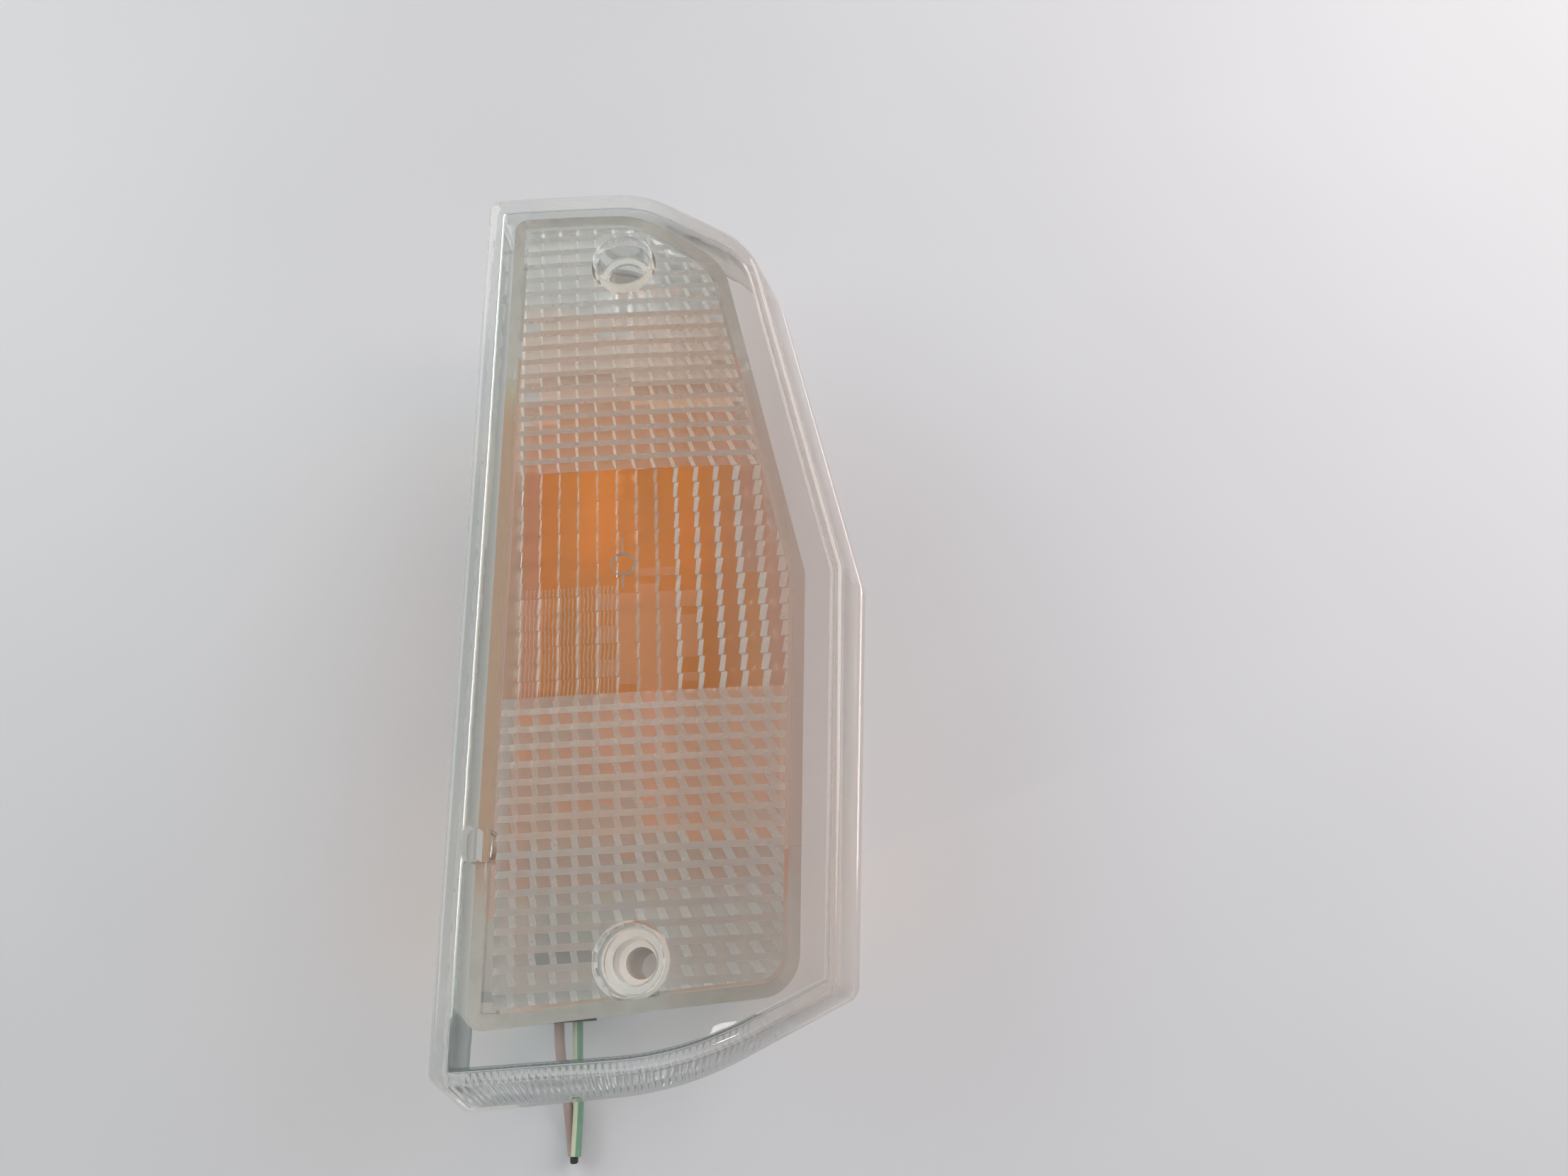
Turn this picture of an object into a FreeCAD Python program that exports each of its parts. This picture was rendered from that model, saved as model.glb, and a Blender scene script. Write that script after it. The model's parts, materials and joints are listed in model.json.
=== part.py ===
"""Front turn signal lamp: a clear prismatic lens over an amber filter, a white housing tub, a bayonet
bulb holder and two leads.

Units are millimetres. The lamp lies on its back: +Z points out of the lens, +Y to the lamp's upper end.
The origin is midway between the two fixing holes, on the flat back of the housing.
"""

import FreeCAD
import Part

import math
import os

from FreeCAD import Vector

os.makedirs("parts", exist_ok=True)

# ---- lens ----------------------------------------------------------------------------------------
SKIRT_Z = 24.0  # open rim of the lens skirt
FRONT_Z = 42.0  # front face at its two long edges
CROWN_RISE = 1.5  # how far the middle of the front face stands above its long edges
CROWN_X = 4.0  # ridge of the gently crowned front face
CROWN_HALF_WIDTH = 34.0
LENS_WALL = 2.6
CUTTER_TOP = 48.0  # above everything, for solids that are trimmed by the crowned face
CUTTER_END = 110.0  # past both ends and both sides of everything

# Outlines are corners (x, y, corner radius), clockwise from the upper left.
FRONT_OUTLINE = [
    (-27.2, 83.2, 2.5),
    (4.5, 82.4, 20.0),
    (26.0, 69.2, 16.0),
    (39.5, 0.0, 6.0),
    (33.8, -73.0, 3.0),
    (9.0, -83.4, 60.0),
    (-32.5, -84.0, 2.5),
]
SKIRT_OUTLINE = [
    (-27.2, 84.7, 3.0),
    (6.0, 84.0, 21.0),
    (31.0, 71.2, 17.0),
    (44.7, 0.5, 6.0),
    (37.9, -74.2, 3.0),
    (7.0, -87.8, 60.0),
    (-32.6, -89.4, 3.0),
]
RIM_OUTLINE = [
    (-21.8, 78.5, 2.5),
    (3.5, 77.9, 17.0),
    (19.9, 66.0, 13.0),
    (32.4, -0.5, 6.0),
    (27.2, -73.2, 7.0),
    (-26.7, -76.3, 2.5),
]
RIM_WIDTH = 2.2  # lens rib, gasket and housing rim all share it
SMALLEST_CORNER_R = 0.6
CLEARANCE = 0.05  # between parts that are fixed to each other
LOOSE_CLEARANCE = 0.1  # between a hole and what passes through it

HOLE_SPACING = 133.2
LENS_TUBE_R = 6.4
LENS_TUBE_Z = 27.2
COUNTERBORE_R = 5.5
COUNTERBORE_FLOOR_Z = 36.0
LENS_BORE_R = 3.75

CORNER_POST = (-26.9, -46.2)  # short moulded post between the skirt and the rib
POST_WIDTH = 3.2
POST_LENGTH = 6.2
POST_Z = 33.0

# ---- amber filter --------------------------------------------------------------------------------
FILTER_Z = 33.8  # top of its flat window
FILTER_SKIRT_Z = 22.0
FILTER_WALL = 1.3
FILTER_WINDOW_Y = (-49.0, 41.0)
FILTER_SKIRT_Y = (-58.0, 57.0)
FILTER_WINDOW_GAP = 3.6
FILTER_SKIRT_GAP = 3.4
FILTER_CORNER_R = 2.5
FLANGE_Y = (-48.5, 46.0)
FLANGE_Z = 27.0
FLANGE_THICK = 1.0
RELIEF = 0.3

# ---- housing and gasket --------------------------------------------------------------------------
HOUSING_Z = 26.0
HOUSING_FLOOR = 2.2
HOUSING_DRAFT = 3.0  # how much the back is smaller than the rim, all round
SCREW_BOSS_R = 6.0
SCREW_HOLE_R = 2.75
GASKET_THICK = 1.0

# ---- reflector -----------------------------------------------------------------------------------
REFLECTOR_R = 20.0
REFLECTOR_THICK = 0.5
REFLECTOR_X = 0.6
REFLECTOR_Y = (-21.0, 44.0)
REFLECTOR_BOTTOM_Z = 3.2
REFLECTOR_TOP_Z = 21.5
PEG_Y = (-17.0, 38.0)
PEG_R = 1.0
PEG_PAD_R = 2.5
PEG_TOP_Z = 4.5

# ---- bulb, cap type BA15s, lying along Y ---------------------------------------------------------
BULB_Z = 17.5
FILAMENT_Y = 2.6
BULB_R = 12.5
GLASS_WALL = 0.8
NECK_R = 7.0
NECK_Y = (-24.0, -18.0)
CAP_R = 7.5
CAP_WALL = 0.4
CAP_Y = (-36.0, -19.0)
CAP_BACK_HOLE_R = 4.0
PIN_Y = -29.2
PIN_R = 1.0
PIN_TIP_R = 8.65
CONTACT_FACE_Y = -37.9
CAP_BACK_THICK = 0.5
INSULATOR_THICK = 2.0
CONTACT_SHANK_R = 1.85
CONTACT_FACE_THICK = 0.7
CONTACT_FACE_ROUND = 0.4
FILAMENT_HALF = 3.0
FILAMENT_R = 0.45
FILAMENT_BOW = 1.0
SUPPORT_R = 0.3
SUPPORT_X = 1.6
SUPPORT_Y = (-20.0, -9.0)
STEM_THICK = 1.5
PINCH_HALF = (3.2, 1.0)
PINCH_TOP_Y = -11.5

# ---- bulb holder ---------------------------------------------------------------------------------
PUSH = 2.0  # bayonet travel
SHELL_R = 8.25
SHELL_BORE_R = 7.65
SHELL_Y = (-46.2, -24.5)
SLOT_WIDTH = 2.5
SLOT_BOTTOM_Y = -32.6
SLOT_TURN = 28.0  # degrees from the entry slot to the locking notch
SLOT_CUT_R = (5.0, 10.0)  # the slot cutters reach from inside the shell's bore to outside it
DISC_R = 7.55
DISC_Y = (-39.9, -38.4)
PLUNGER_HEAD_R = 2.6
PLUNGER_SHANK_R = 1.2
PLUNGER_SHANK_Y = -42.0
PLATE_Y = (-46.2, -45.0)
TERMINAL_DISC_R = 5.6
TERMINAL_DISC_Y = (-45.0, -44.5)
SPRING_R = 4.4
SPRING_WIRE_R = 0.35
SPRING_TURNS = 3.5
SPRING_ARCS_PER_TURN = 4

# ---- bracket, terminals and their screws ---------------------------------------------------------
FOOT_Z = 8.0
BRACKET_THICK = 1.0
FOOT_Y = (-43.0, -33.0)
FOOT_HALF_WIDTH = 18.0
UPRIGHT_HALF_WIDTH = 11.0
UPRIGHT_TOP_Z = 28.0
BRACKET_SCREW_X = 14.0
BRACKET_SCREW_Y = -38.5
BRACKET_BOSS_R = 3.5
BRACKET_SCREW_R = 1.5
SCREW_HEAD_R = 2.75
SCREW_HEAD_HEIGHT = 1.9
SCREW_HEAD_ROUND = 0.8
SCREW_SLOT_WIDTH = 0.8
SCREW_SLOT_DEPTH = 0.9
SCREW_TIP_GAP = 0.6
EYE_MARGIN = 0.5
TAB_WIDTH = 2.8
TAB_THICK = 0.6
SIGNAL_TAB_X = -4.2
SIGNAL_TAB_Z = 14.2
EARTH_CRIMP_Z = 10.2
CRIMP_R = 1.5
CRIMP_Y = (-55.0, -51.0)
CRIMP_FLOOR = 0.6

# ---- leads ---------------------------------------------------------------------------------------
LEAD_R = 0.95
LEAD_START_Y = -51.7
GROMMET_X = -15.65
GROMMET_Z = 8.0
GROMMET_R = 4.0
GROMMET_FLANGE_R = 5.2
GROMMET_Y = (-75.8, -70.0)
LEAD_HOLE_Y = (-90.0, -60.0)  # cutters for the lead holes run past the lower wall on both sides
LEAD_LEFT_X = -17.4
LEAD_RIGHT_X = -13.9
TABLE_LEAD_Z = 1.0
LEAD_END_Y = -99.3
SEAL_X = -15.65
SEAL_Z = 1.95
SEAL_R = 0.75
SEAL_LENGTH = 1.3
SEAL_ROUND = 0.45

# Routes of the leads' centrelines, from the crimp to the end seal, where green lies on top of brown.
BROWN_ROUTE = [
    (-BRACKET_SCREW_X, LEAD_START_Y, EARTH_CRIMP_Z),
    (-BRACKET_SCREW_X, -57.5, EARTH_CRIMP_Z),
    (LEAD_LEFT_X, -65.0, GROMMET_Z),
    (LEAD_LEFT_X, -82.0, GROMMET_Z),
    (-16.9, -90.0, TABLE_LEAD_Z),
    (SEAL_X - 0.4, LEAD_END_Y, TABLE_LEAD_Z),
]
GREEN_ROUTE = [
    (SIGNAL_TAB_X, LEAD_START_Y, SIGNAL_TAB_Z),
    (SIGNAL_TAB_X, -58.0, SIGNAL_TAB_Z),
    (-9.0, -62.6, 10.8),
    (LEAD_RIGHT_X, -67.2, GROMMET_Z),
    (LEAD_RIGHT_X, -81.5, GROMMET_Z),
    (-14.75, -89.5, 1.6),
    (SEAL_X + 0.45, LEAD_END_Y, 2 * SEAL_Z - TABLE_LEAD_Z),
]
BEND_SHARE = 0.45  # part of the shorter run that a bend may use


# ---- outlines and simple solids ------------------------------------------------------------------
def corner_arc(before, corner, after, radius):
    """Start, middle and end of the arc that rounds one corner."""
    back = (before - corner).normalize()
    ahead = (after - corner).normalize()
    half = back.getAngle(ahead) / 2
    reach = radius / math.tan(half)
    middle = (back + ahead).normalize() * (radius / math.sin(half) - radius)
    return corner + back * reach, corner + middle, corner + ahead * reach


def closed_wire(outline, z):
    """A closed wire of straight edges and corner arcs at height z."""
    corners = [Vector(x, y, z) for x, y, radius in outline]
    arcs = []
    for i, (x, y, radius) in enumerate(outline):
        arcs.append(corner_arc(corners[i - 1], corners[i], corners[(i + 1) % len(corners)], radius))
    edges = []
    for i, (start, middle, end) in enumerate(arcs):
        edges.append(Part.Arc(start, middle, end).toShape())
        edges.append(Part.LineSegment(end, arcs[(i + 1) % len(arcs)][0]).toShape())
    return Part.Wire(edges)


def inset(outline, distance):
    """The same outline moved inwards by a distance all round (clockwise corners)."""
    result = []
    count = len(outline)
    for i, (x, y, radius) in enumerate(outline):
        x0, y0 = outline[i - 1][:2]
        x2, y2 = outline[(i + 1) % count][:2]
        first = Vector(x - x0, y - y0, 0).normalize()
        second = Vector(x2 - x, y2 - y, 0).normalize()
        normal_1 = Vector(first.y, -first.x, 0)
        normal_2 = Vector(second.y, -second.x, 0)
        shift = (normal_1 + normal_2) * (distance / (1 + normal_1.dot(normal_2)))
        result.append((x + shift.x, y + shift.y, max(radius - distance, SMALLEST_CORNER_R)))
    return result


def prism(outline, z0, z1):
    return Part.Face(closed_wire(outline, z0)).extrude(Vector(0, 0, z1 - z0))


def taper(lower, z0, upper, z1):
    return Part.makeLoft([closed_wire(lower, z0), closed_wire(upper, z1)], True, True)


def box(x, y, z):
    """A box from three (low, high) pairs."""
    size = [pair[1] - pair[0] for pair in (x, y, z)]
    return Part.makeBox(*size, Vector(x[0], y[0], z[0]))


def upright(radius, x, y, z0, z1):
    return Part.makeCylinder(radius, z1 - z0, Vector(x, y, z0))


def along_y(radius, x, z, y0, y1):
    return Part.makeCylinder(radius, y1 - y0, Vector(x, y0, z), Vector(0, 1, 0))


def to_bulb_axis(shape):
    """Lay a solid built about Z along the bulb's axis, with local z becoming y."""
    shape.rotate(Vector(0, 0, 0), Vector(1, 0, 0), -90)
    shape.translate(Vector(0, 0, BULB_Z))
    return shape


def turned(edges):
    """Revolve a closed profile of edges in the XZ plane about Z, then lay it along the bulb's axis."""
    solid = Part.Face(Part.Wire(edges)).revolve(Vector(0, 0, 0), Vector(0, 0, 1), 360)
    return to_bulb_axis(solid)


def ring(r0, r1, y0, y1):
    """A plain tube on the bulb's axis."""
    return along_y(r1, 0, BULB_Z, y0, y1).cut(along_y(r0, 0, BULB_Z, y0, y1))


def save(shape, name):
    shape.exportStep("parts/" + name + ".step")


# ---- lens ----------------------------------------------------------------------------------------
def lens_section(z):
    """The lens outline at height z, on straight lines from the skirt to the front."""
    share = (z - SKIRT_Z) / (FRONT_Z - SKIRT_Z)
    pairs = zip(SKIRT_OUTLINE, FRONT_OUTLINE)
    return [tuple(a + (b - a) * share for a, b in zip(low, high)) for low, high in pairs]


def crowned(shape, depth):
    """Trim a shape to stay at least depth below the crowned front face."""
    radius = (CROWN_HALF_WIDTH**2 + CROWN_RISE**2) / (2 * CROWN_RISE)
    centre_z = FRONT_Z + CROWN_RISE - radius
    return shape.common(along_y(radius - depth, CROWN_X, centre_z, -CUTTER_END, CUTTER_END))


def lens_rib():
    inner = prism(inset(RIM_OUTLINE, RIM_WIDTH), 0, CUTTER_TOP)
    rib = prism(RIM_OUTLINE, FLANGE_Z, CUTTER_TOP).cut(inner)
    relief_y = (FLANGE_Y[0] - RELIEF, FLANGE_Y[1] + RELIEF)
    return rib.cut(box((-CUTTER_END, CUTTER_END), relief_y, (0, FLANGE_Z + FLANGE_THICK)))


def outer_lens():
    outer = taper(lens_section(SKIRT_Z), SKIRT_Z, lens_section(CUTTER_TOP), CUTTER_TOP)
    start = SKIRT_Z - 1
    inner_low = inset(lens_section(start), LENS_WALL)
    inner_high = inset(lens_section(CUTTER_TOP), LENS_WALL)
    inner = crowned(taper(inner_low, start, inner_high, CUTTER_TOP), LENS_WALL)
    shell = crowned(outer, 0).cut(inner)
    posts = [lens_rib()]
    for y in (-HOLE_SPACING / 2, HOLE_SPACING / 2):
        posts.append(upright(LENS_TUBE_R, 0, y, LENS_TUBE_Z, CUTTER_TOP))
    x, y = CORNER_POST
    reach = (POST_LENGTH - POST_WIDTH) / 2
    post_x = (x - POST_WIDTH / 2, x + POST_WIDTH / 2)
    posts.append(box(post_x, (y - reach, y + reach), (POST_Z, CUTTER_TOP)))
    posts.append(upright(POST_WIDTH / 2, x, y - reach, POST_Z, CUTTER_TOP))
    posts.append(upright(POST_WIDTH / 2, x, y + reach, POST_Z, CUTTER_TOP))
    lens = shell.fuse([crowned(post, LENS_WALL / 2) for post in posts])
    for y in (-HOLE_SPACING / 2, HOLE_SPACING / 2):
        lens = lens.cut(upright(LENS_BORE_R, 0, y, 0, CUTTER_TOP))
        lens = lens.cut(upright(COUNTERBORE_R, 0, y, COUNTERBORE_FLOOR_Z, CUTTER_TOP))
    return lens.removeSplitter()


# ---- amber filter --------------------------------------------------------------------------------
def across(a, b, y):
    """x at height y on the line from corner a to corner b."""
    return a[0] + (b[0] - a[0]) * (y - a[1]) / (b[1] - a[1])


def filter_outline(low_y, high_y, gap):
    """A five-sided outline inside the rim, cut off square at both ends."""
    lower_left, upper_left = RIM_OUTLINE[5], RIM_OUTLINE[0]
    shoulder, kink, lower_right = RIM_OUTLINE[2:5]
    return [
        (across(lower_left, upper_left, high_y) + gap, high_y, FILTER_CORNER_R),
        (across(shoulder, kink, high_y) - gap, high_y, FILTER_CORNER_R),
        (kink[0] - gap, kink[1], kink[2]),
        (across(kink, lower_right, low_y) - gap, low_y, FILTER_CORNER_R),
        (across(lower_left, upper_left, low_y) + gap, low_y, FILTER_CORNER_R),
    ]


def amber_filter():
    skirt = filter_outline(*FILTER_SKIRT_Y, FILTER_SKIRT_GAP)
    window = filter_outline(*FILTER_WINDOW_Y, FILTER_WINDOW_GAP)
    outer = taper(skirt, FILTER_SKIRT_Z, window, FILTER_Z)
    inner_skirt = inset(skirt, FILTER_WALL)
    inner_window = inset(window, FILTER_WALL)
    inner = taper(inner_skirt, FILTER_SKIRT_Z, inner_window, FILTER_Z - FILTER_WALL)
    flange = prism(RIM_OUTLINE, FLANGE_Z, FLANGE_Z + FLANGE_THICK)
    flange = flange.common(box((-CUTTER_END, CUTTER_END), FLANGE_Y, (0, CUTTER_TOP)))
    return outer.fuse(flange).cut(inner).removeSplitter()


# ---- housing, gasket, reflector ------------------------------------------------------------------
def housing_tub():
    """The tub without its lead hole."""
    outer = taper(inset(RIM_OUTLINE, HOUSING_DRAFT), 0, RIM_OUTLINE, HOUSING_Z)
    floor = inset(RIM_OUTLINE, HOUSING_DRAFT + RIM_WIDTH)
    tub = outer.cut(taper(floor, HOUSING_FLOOR, inset(RIM_OUTLINE, RIM_WIDTH), HOUSING_Z))
    bosses = []
    for y in (-HOLE_SPACING / 2, HOLE_SPACING / 2):
        bosses.append(upright(SCREW_BOSS_R, 0, y, 0, HOUSING_Z))
    for x in (-BRACKET_SCREW_X, BRACKET_SCREW_X):
        bosses.append(upright(BRACKET_BOSS_R, x, BRACKET_SCREW_Y, 0, FOOT_Z))
    for y in PEG_Y:
        bosses.append(upright(PEG_PAD_R, REFLECTOR_X, y, 0, REFLECTOR_BOTTOM_Z))
        bosses.append(upright(PEG_R, REFLECTOR_X, y, 0, PEG_TOP_Z))
    tub = tub.fuse(bosses)
    for y in (-HOLE_SPACING / 2, HOLE_SPACING / 2):
        tub = tub.cut(upright(SCREW_HOLE_R, 0, y, -1, CUTTER_TOP))
    for x in (-BRACKET_SCREW_X, BRACKET_SCREW_X):
        tub = tub.cut(upright(BRACKET_SCREW_R, x, BRACKET_SCREW_Y, HOUSING_FLOOR, CUTTER_TOP))
    return tub.removeSplitter()


def housing(tub):
    return tub.cut(along_y(GROMMET_R, GROMMET_X, GROMMET_Z, *LEAD_HOLE_Y))


def lens_gasket():
    top = HOUSING_Z + GASKET_THICK
    return prism(RIM_OUTLINE, HOUSING_Z, top).cut(prism(inset(RIM_OUTLINE, RIM_WIDTH), 0, CUTTER_TOP))


def reflector():
    """A bright trough of thin sheet behind the bulb, located by two pegs."""
    centre_z = REFLECTOR_BOTTOM_Z + REFLECTOR_R
    trough = along_y(REFLECTOR_R, REFLECTOR_X, centre_z, *REFLECTOR_Y)
    trough = trough.cut(along_y(REFLECTOR_R - REFLECTOR_THICK, REFLECTOR_X, centre_z, *REFLECTOR_Y))
    trough = trough.common(box((-CUTTER_END, CUTTER_END), REFLECTOR_Y, (0, REFLECTOR_TOP_Z)))
    for y in PEG_Y:
        trough = trough.cut(upright(PEG_R + LOOSE_CLEARANCE, REFLECTOR_X, y, 0, REFLECTOR_TOP_Z))
    return trough


# ---- bulb ----------------------------------------------------------------------------------------
def glass_form(radius, neck_r, neck_y, tip_y):
    """A solid pear: straight neck, cone tangent to a round bulb."""
    centre_y = FILAMENT_Y
    rise = centre_y - neck_y[1]
    distance = math.hypot(neck_r, rise)
    angle = math.atan2(neck_r, rise) + math.acos(radius / distance)
    touch = Vector(radius * math.sin(angle), 0, centre_y - radius * math.cos(angle))
    middle_angle = (angle + math.pi) / 2
    middle = Vector(radius * math.sin(middle_angle), 0, centre_y - radius * math.cos(middle_angle))
    tip = Vector(0, 0, tip_y)
    corners = [Vector(0, 0, neck_y[0]), Vector(neck_r, 0, neck_y[0]), Vector(neck_r, 0, neck_y[1])]
    edges = [
        Part.LineSegment(corners[0], corners[1]).toShape(),
        Part.LineSegment(corners[1], corners[2]).toShape(),
        Part.LineSegment(corners[2], touch).toShape(),
        Part.Arc(touch, middle, tip).toShape(),
        Part.LineSegment(tip, corners[0]).toShape(),
    ]
    return turned(edges)


def bulb_glass():
    outer = glass_form(BULB_R, NECK_R, NECK_Y, FILAMENT_Y + BULB_R)
    inner_r = BULB_R - GLASS_WALL
    inner = glass_form(inner_r, NECK_R - GLASS_WALL, NECK_Y, FILAMENT_Y + inner_r)
    return outer.cut(inner)


def glass_stem():
    """The flare that closes the neck, and the pinch that holds the support wires."""
    plug = along_y(NECK_R - GLASS_WALL - CLEARANCE, 0, BULB_Z, NECK_Y[0], NECK_Y[0] + STEM_THICK)
    half_x, half_z = PINCH_HALF
    pinch = box((-half_x, half_x), (NECK_Y[0], PINCH_TOP_Y), (BULB_Z - half_z, BULB_Z + half_z))
    stem = plug.fuse(pinch)
    return stem.cut(support_wires())


def support_wires():
    wires = []
    for side in (-1, 1):
        foot = Vector(side * SUPPORT_X, SUPPORT_Y[0], BULB_Z)
        knee = Vector(side * SUPPORT_X, SUPPORT_Y[1], BULB_Z)
        hook = Vector(side * FILAMENT_HALF, FILAMENT_Y, BULB_Z)
        wires.append(Part.makeCylinder(SUPPORT_R, (knee - foot).Length, foot, knee - foot))
        wires.append(Part.makeCylinder(SUPPORT_R, (hook - knee).Length, knee, hook - knee))
        wires.append(Part.makeSphere(SUPPORT_R, knee))
    return wires[0].fuse(wires[1:])


def filament():
    """The outer form of the coiled wire, slightly bowed away from the cap."""
    reach = FILAMENT_HALF - SUPPORT_R
    start = Vector(-reach, FILAMENT_Y, BULB_Z)
    end = Vector(reach, FILAMENT_Y, BULB_Z)
    path = Part.Wire([Part.Arc(start, Vector(0, FILAMENT_Y + FILAMENT_BOW, BULB_Z), end).toShape()])
    tangent = path.Edges[0].tangentAt(path.Edges[0].FirstParameter)
    section = Part.Wire([Part.makeCircle(FILAMENT_R, start, tangent)])
    coil = path.makePipeShell([section], True, False)
    return coil.cut(support_wires())


def bulb_cap():
    tube = ring(CAP_R - CAP_WALL, CAP_R, *CAP_Y)
    back = ring(CAP_BACK_HOLE_R, CAP_R, CAP_Y[0], CAP_Y[0] + CAP_BACK_THICK)
    pin_root = CAP_R - CAP_WALL / 2
    pins = []
    for side in (-1, 1):
        start = Vector(side * pin_root, PIN_Y, BULB_Z)
        pins.append(Part.makeCylinder(PIN_R, PIN_TIP_R - pin_root, start, Vector(side, 0, 0)))
    return tube.fuse([back] + pins).removeSplitter()


def bulb_insulator():
    bore_r = CONTACT_SHANK_R + CLEARANCE
    seat_y = CAP_Y[0] + CAP_BACK_THICK
    body = ring(bore_r, CAP_R - CAP_WALL - CLEARANCE, seat_y, seat_y + INSULATOR_THICK)
    nose = ring(bore_r, CAP_BACK_HOLE_R - CLEARANCE, CONTACT_FACE_Y + CONTACT_FACE_THICK, seat_y)
    return body.fuse(nose).removeSplitter()


def bulb_contact():
    back_y = CONTACT_FACE_Y + CONTACT_FACE_THICK
    shank = along_y(CONTACT_SHANK_R, 0, BULB_Z, back_y, CAP_Y[0] + 2 * CAP_BACK_THICK)
    face = along_y(PLUNGER_HEAD_R, 0, BULB_Z, CONTACT_FACE_Y, back_y)
    return shank.fuse(face.makeFillet(CONTACT_FACE_ROUND, [face.Edges[2]])).removeSplitter()


# ---- bulb holder ---------------------------------------------------------------------------------
def bayonet_slot():
    """Entry slot, turning leg and locking notch for the pin on +X, in the bulb's local axes."""
    half = SLOT_WIDTH / 2
    notch_top = PIN_Y + PIN_R + CLEARANCE
    leg_top = notch_top - PUSH
    entry = box(SLOT_CUT_R, (-half, half), (SLOT_BOTTOM_Y, SHELL_Y[1] + PUSH))
    entry.rotate(Vector(0, 0, 0), Vector(0, 0, 1), SLOT_TURN)
    notch = box(SLOT_CUT_R, (-half, half), (SLOT_BOTTOM_Y, notch_top))
    foot = Vector(0, 0, SLOT_BOTTOM_Y)
    leg = Part.makeCylinder(SLOT_CUT_R[1], leg_top - SLOT_BOTTOM_Y, foot, Vector(0, 0, 1), SLOT_TURN)
    return to_bulb_axis(entry.fuse([notch, leg]))


def socket_shell():
    shell = ring(SHELL_BORE_R, SHELL_R, *SHELL_Y)
    slot = bayonet_slot()
    shell = shell.cut(slot)
    slot.rotate(Vector(0, 0, BULB_Z), Vector(0, 1, 0), 180)
    return shell.cut(slot)


def contact_disc():
    return ring(PLUNGER_SHANK_R + CLEARANCE, DISC_R, *DISC_Y)


def contact_plunger():
    head = along_y(PLUNGER_HEAD_R, 0, BULB_Z, DISC_Y[1], CONTACT_FACE_Y)
    shank = along_y(PLUNGER_SHANK_R, 0, BULB_Z, PLUNGER_SHANK_Y, DISC_Y[1])
    return head.fuse(shank).removeSplitter()


def contact_spring():
    """A helical spring whose turns are chains of arcs."""
    low = TERMINAL_DISC_Y[1] + SPRING_WIRE_R
    high = DISC_Y[0] - SPRING_WIRE_R
    arcs = round(SPRING_TURNS * SPRING_ARCS_PER_TURN)

    def on_helix(step):
        angle = 2 * math.pi * step / SPRING_ARCS_PER_TURN
        z = low + (high - low) * step / arcs
        return Vector(SPRING_R * math.cos(angle), SPRING_R * math.sin(angle), z)

    edges = [Part.Arc(on_helix(i), on_helix(i + 0.5), on_helix(i + 1)).toShape() for i in range(arcs)]
    tangent = edges[0].tangentAt(edges[0].FirstParameter)
    section = Part.Wire([Part.makeCircle(SPRING_WIRE_R, on_helix(0), tangent)])
    return to_bulb_axis(Part.Wire(edges).makePipeShell([section], True, True))


def socket_end_plate():
    plate = along_y(DISC_R, 0, BULB_Z, *PLATE_Y)
    half = TAB_WIDTH / 2 + LOOSE_CLEARANCE
    height = TAB_THICK / 2 + LOOSE_CLEARANCE
    slit_x = (SIGNAL_TAB_X - half, SIGNAL_TAB_X + half)
    return plate.cut(box(slit_x, PLATE_Y, (SIGNAL_TAB_Z - height, SIGNAL_TAB_Z + height)))


def crimp(x, z):
    """A closed-ended barrel around the stripped end of a lead."""
    barrel = along_y(CRIMP_R, x, z, *CRIMP_Y)
    return barrel.cut(along_y(LEAD_R + CLEARANCE, x, z, CRIMP_Y[0], CRIMP_Y[1] - CRIMP_FLOOR))


def signal_terminal():
    disc = along_y(TERMINAL_DISC_R, 0, BULB_Z, *TERMINAL_DISC_Y)
    half = TAB_WIDTH / 2
    tab_x = (SIGNAL_TAB_X - half, SIGNAL_TAB_X + half)
    tab_z = (SIGNAL_TAB_Z - TAB_THICK / 2, SIGNAL_TAB_Z + TAB_THICK / 2)
    tab = box(tab_x, (CRIMP_Y[1] - CRIMP_FLOOR / 2, TERMINAL_DISC_Y[1]), tab_z)
    return disc.fuse([tab, crimp(SIGNAL_TAB_X, SIGNAL_TAB_Z)]).removeSplitter()


def earth_terminal():
    x = -BRACKET_SCREW_X
    z0 = FOOT_Z + BRACKET_THICK
    z1 = z0 + TAB_THICK
    eye = upright(SCREW_HEAD_R + EYE_MARGIN, x, BRACKET_SCREW_Y, z0, z1)
    tab_y = (CRIMP_Y[1] - CRIMP_FLOOR / 2, BRACKET_SCREW_Y)
    tab = box((x - TAB_WIDTH / 2, x + TAB_WIDTH / 2), tab_y, (z0, z1))
    body = eye.fuse([tab, crimp(x, EARTH_CRIMP_Z)]).removeSplitter()
    return body.cut(upright(BRACKET_SCREW_R + LOOSE_CLEARANCE, x, BRACKET_SCREW_Y, 0, CUTTER_TOP))


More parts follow.
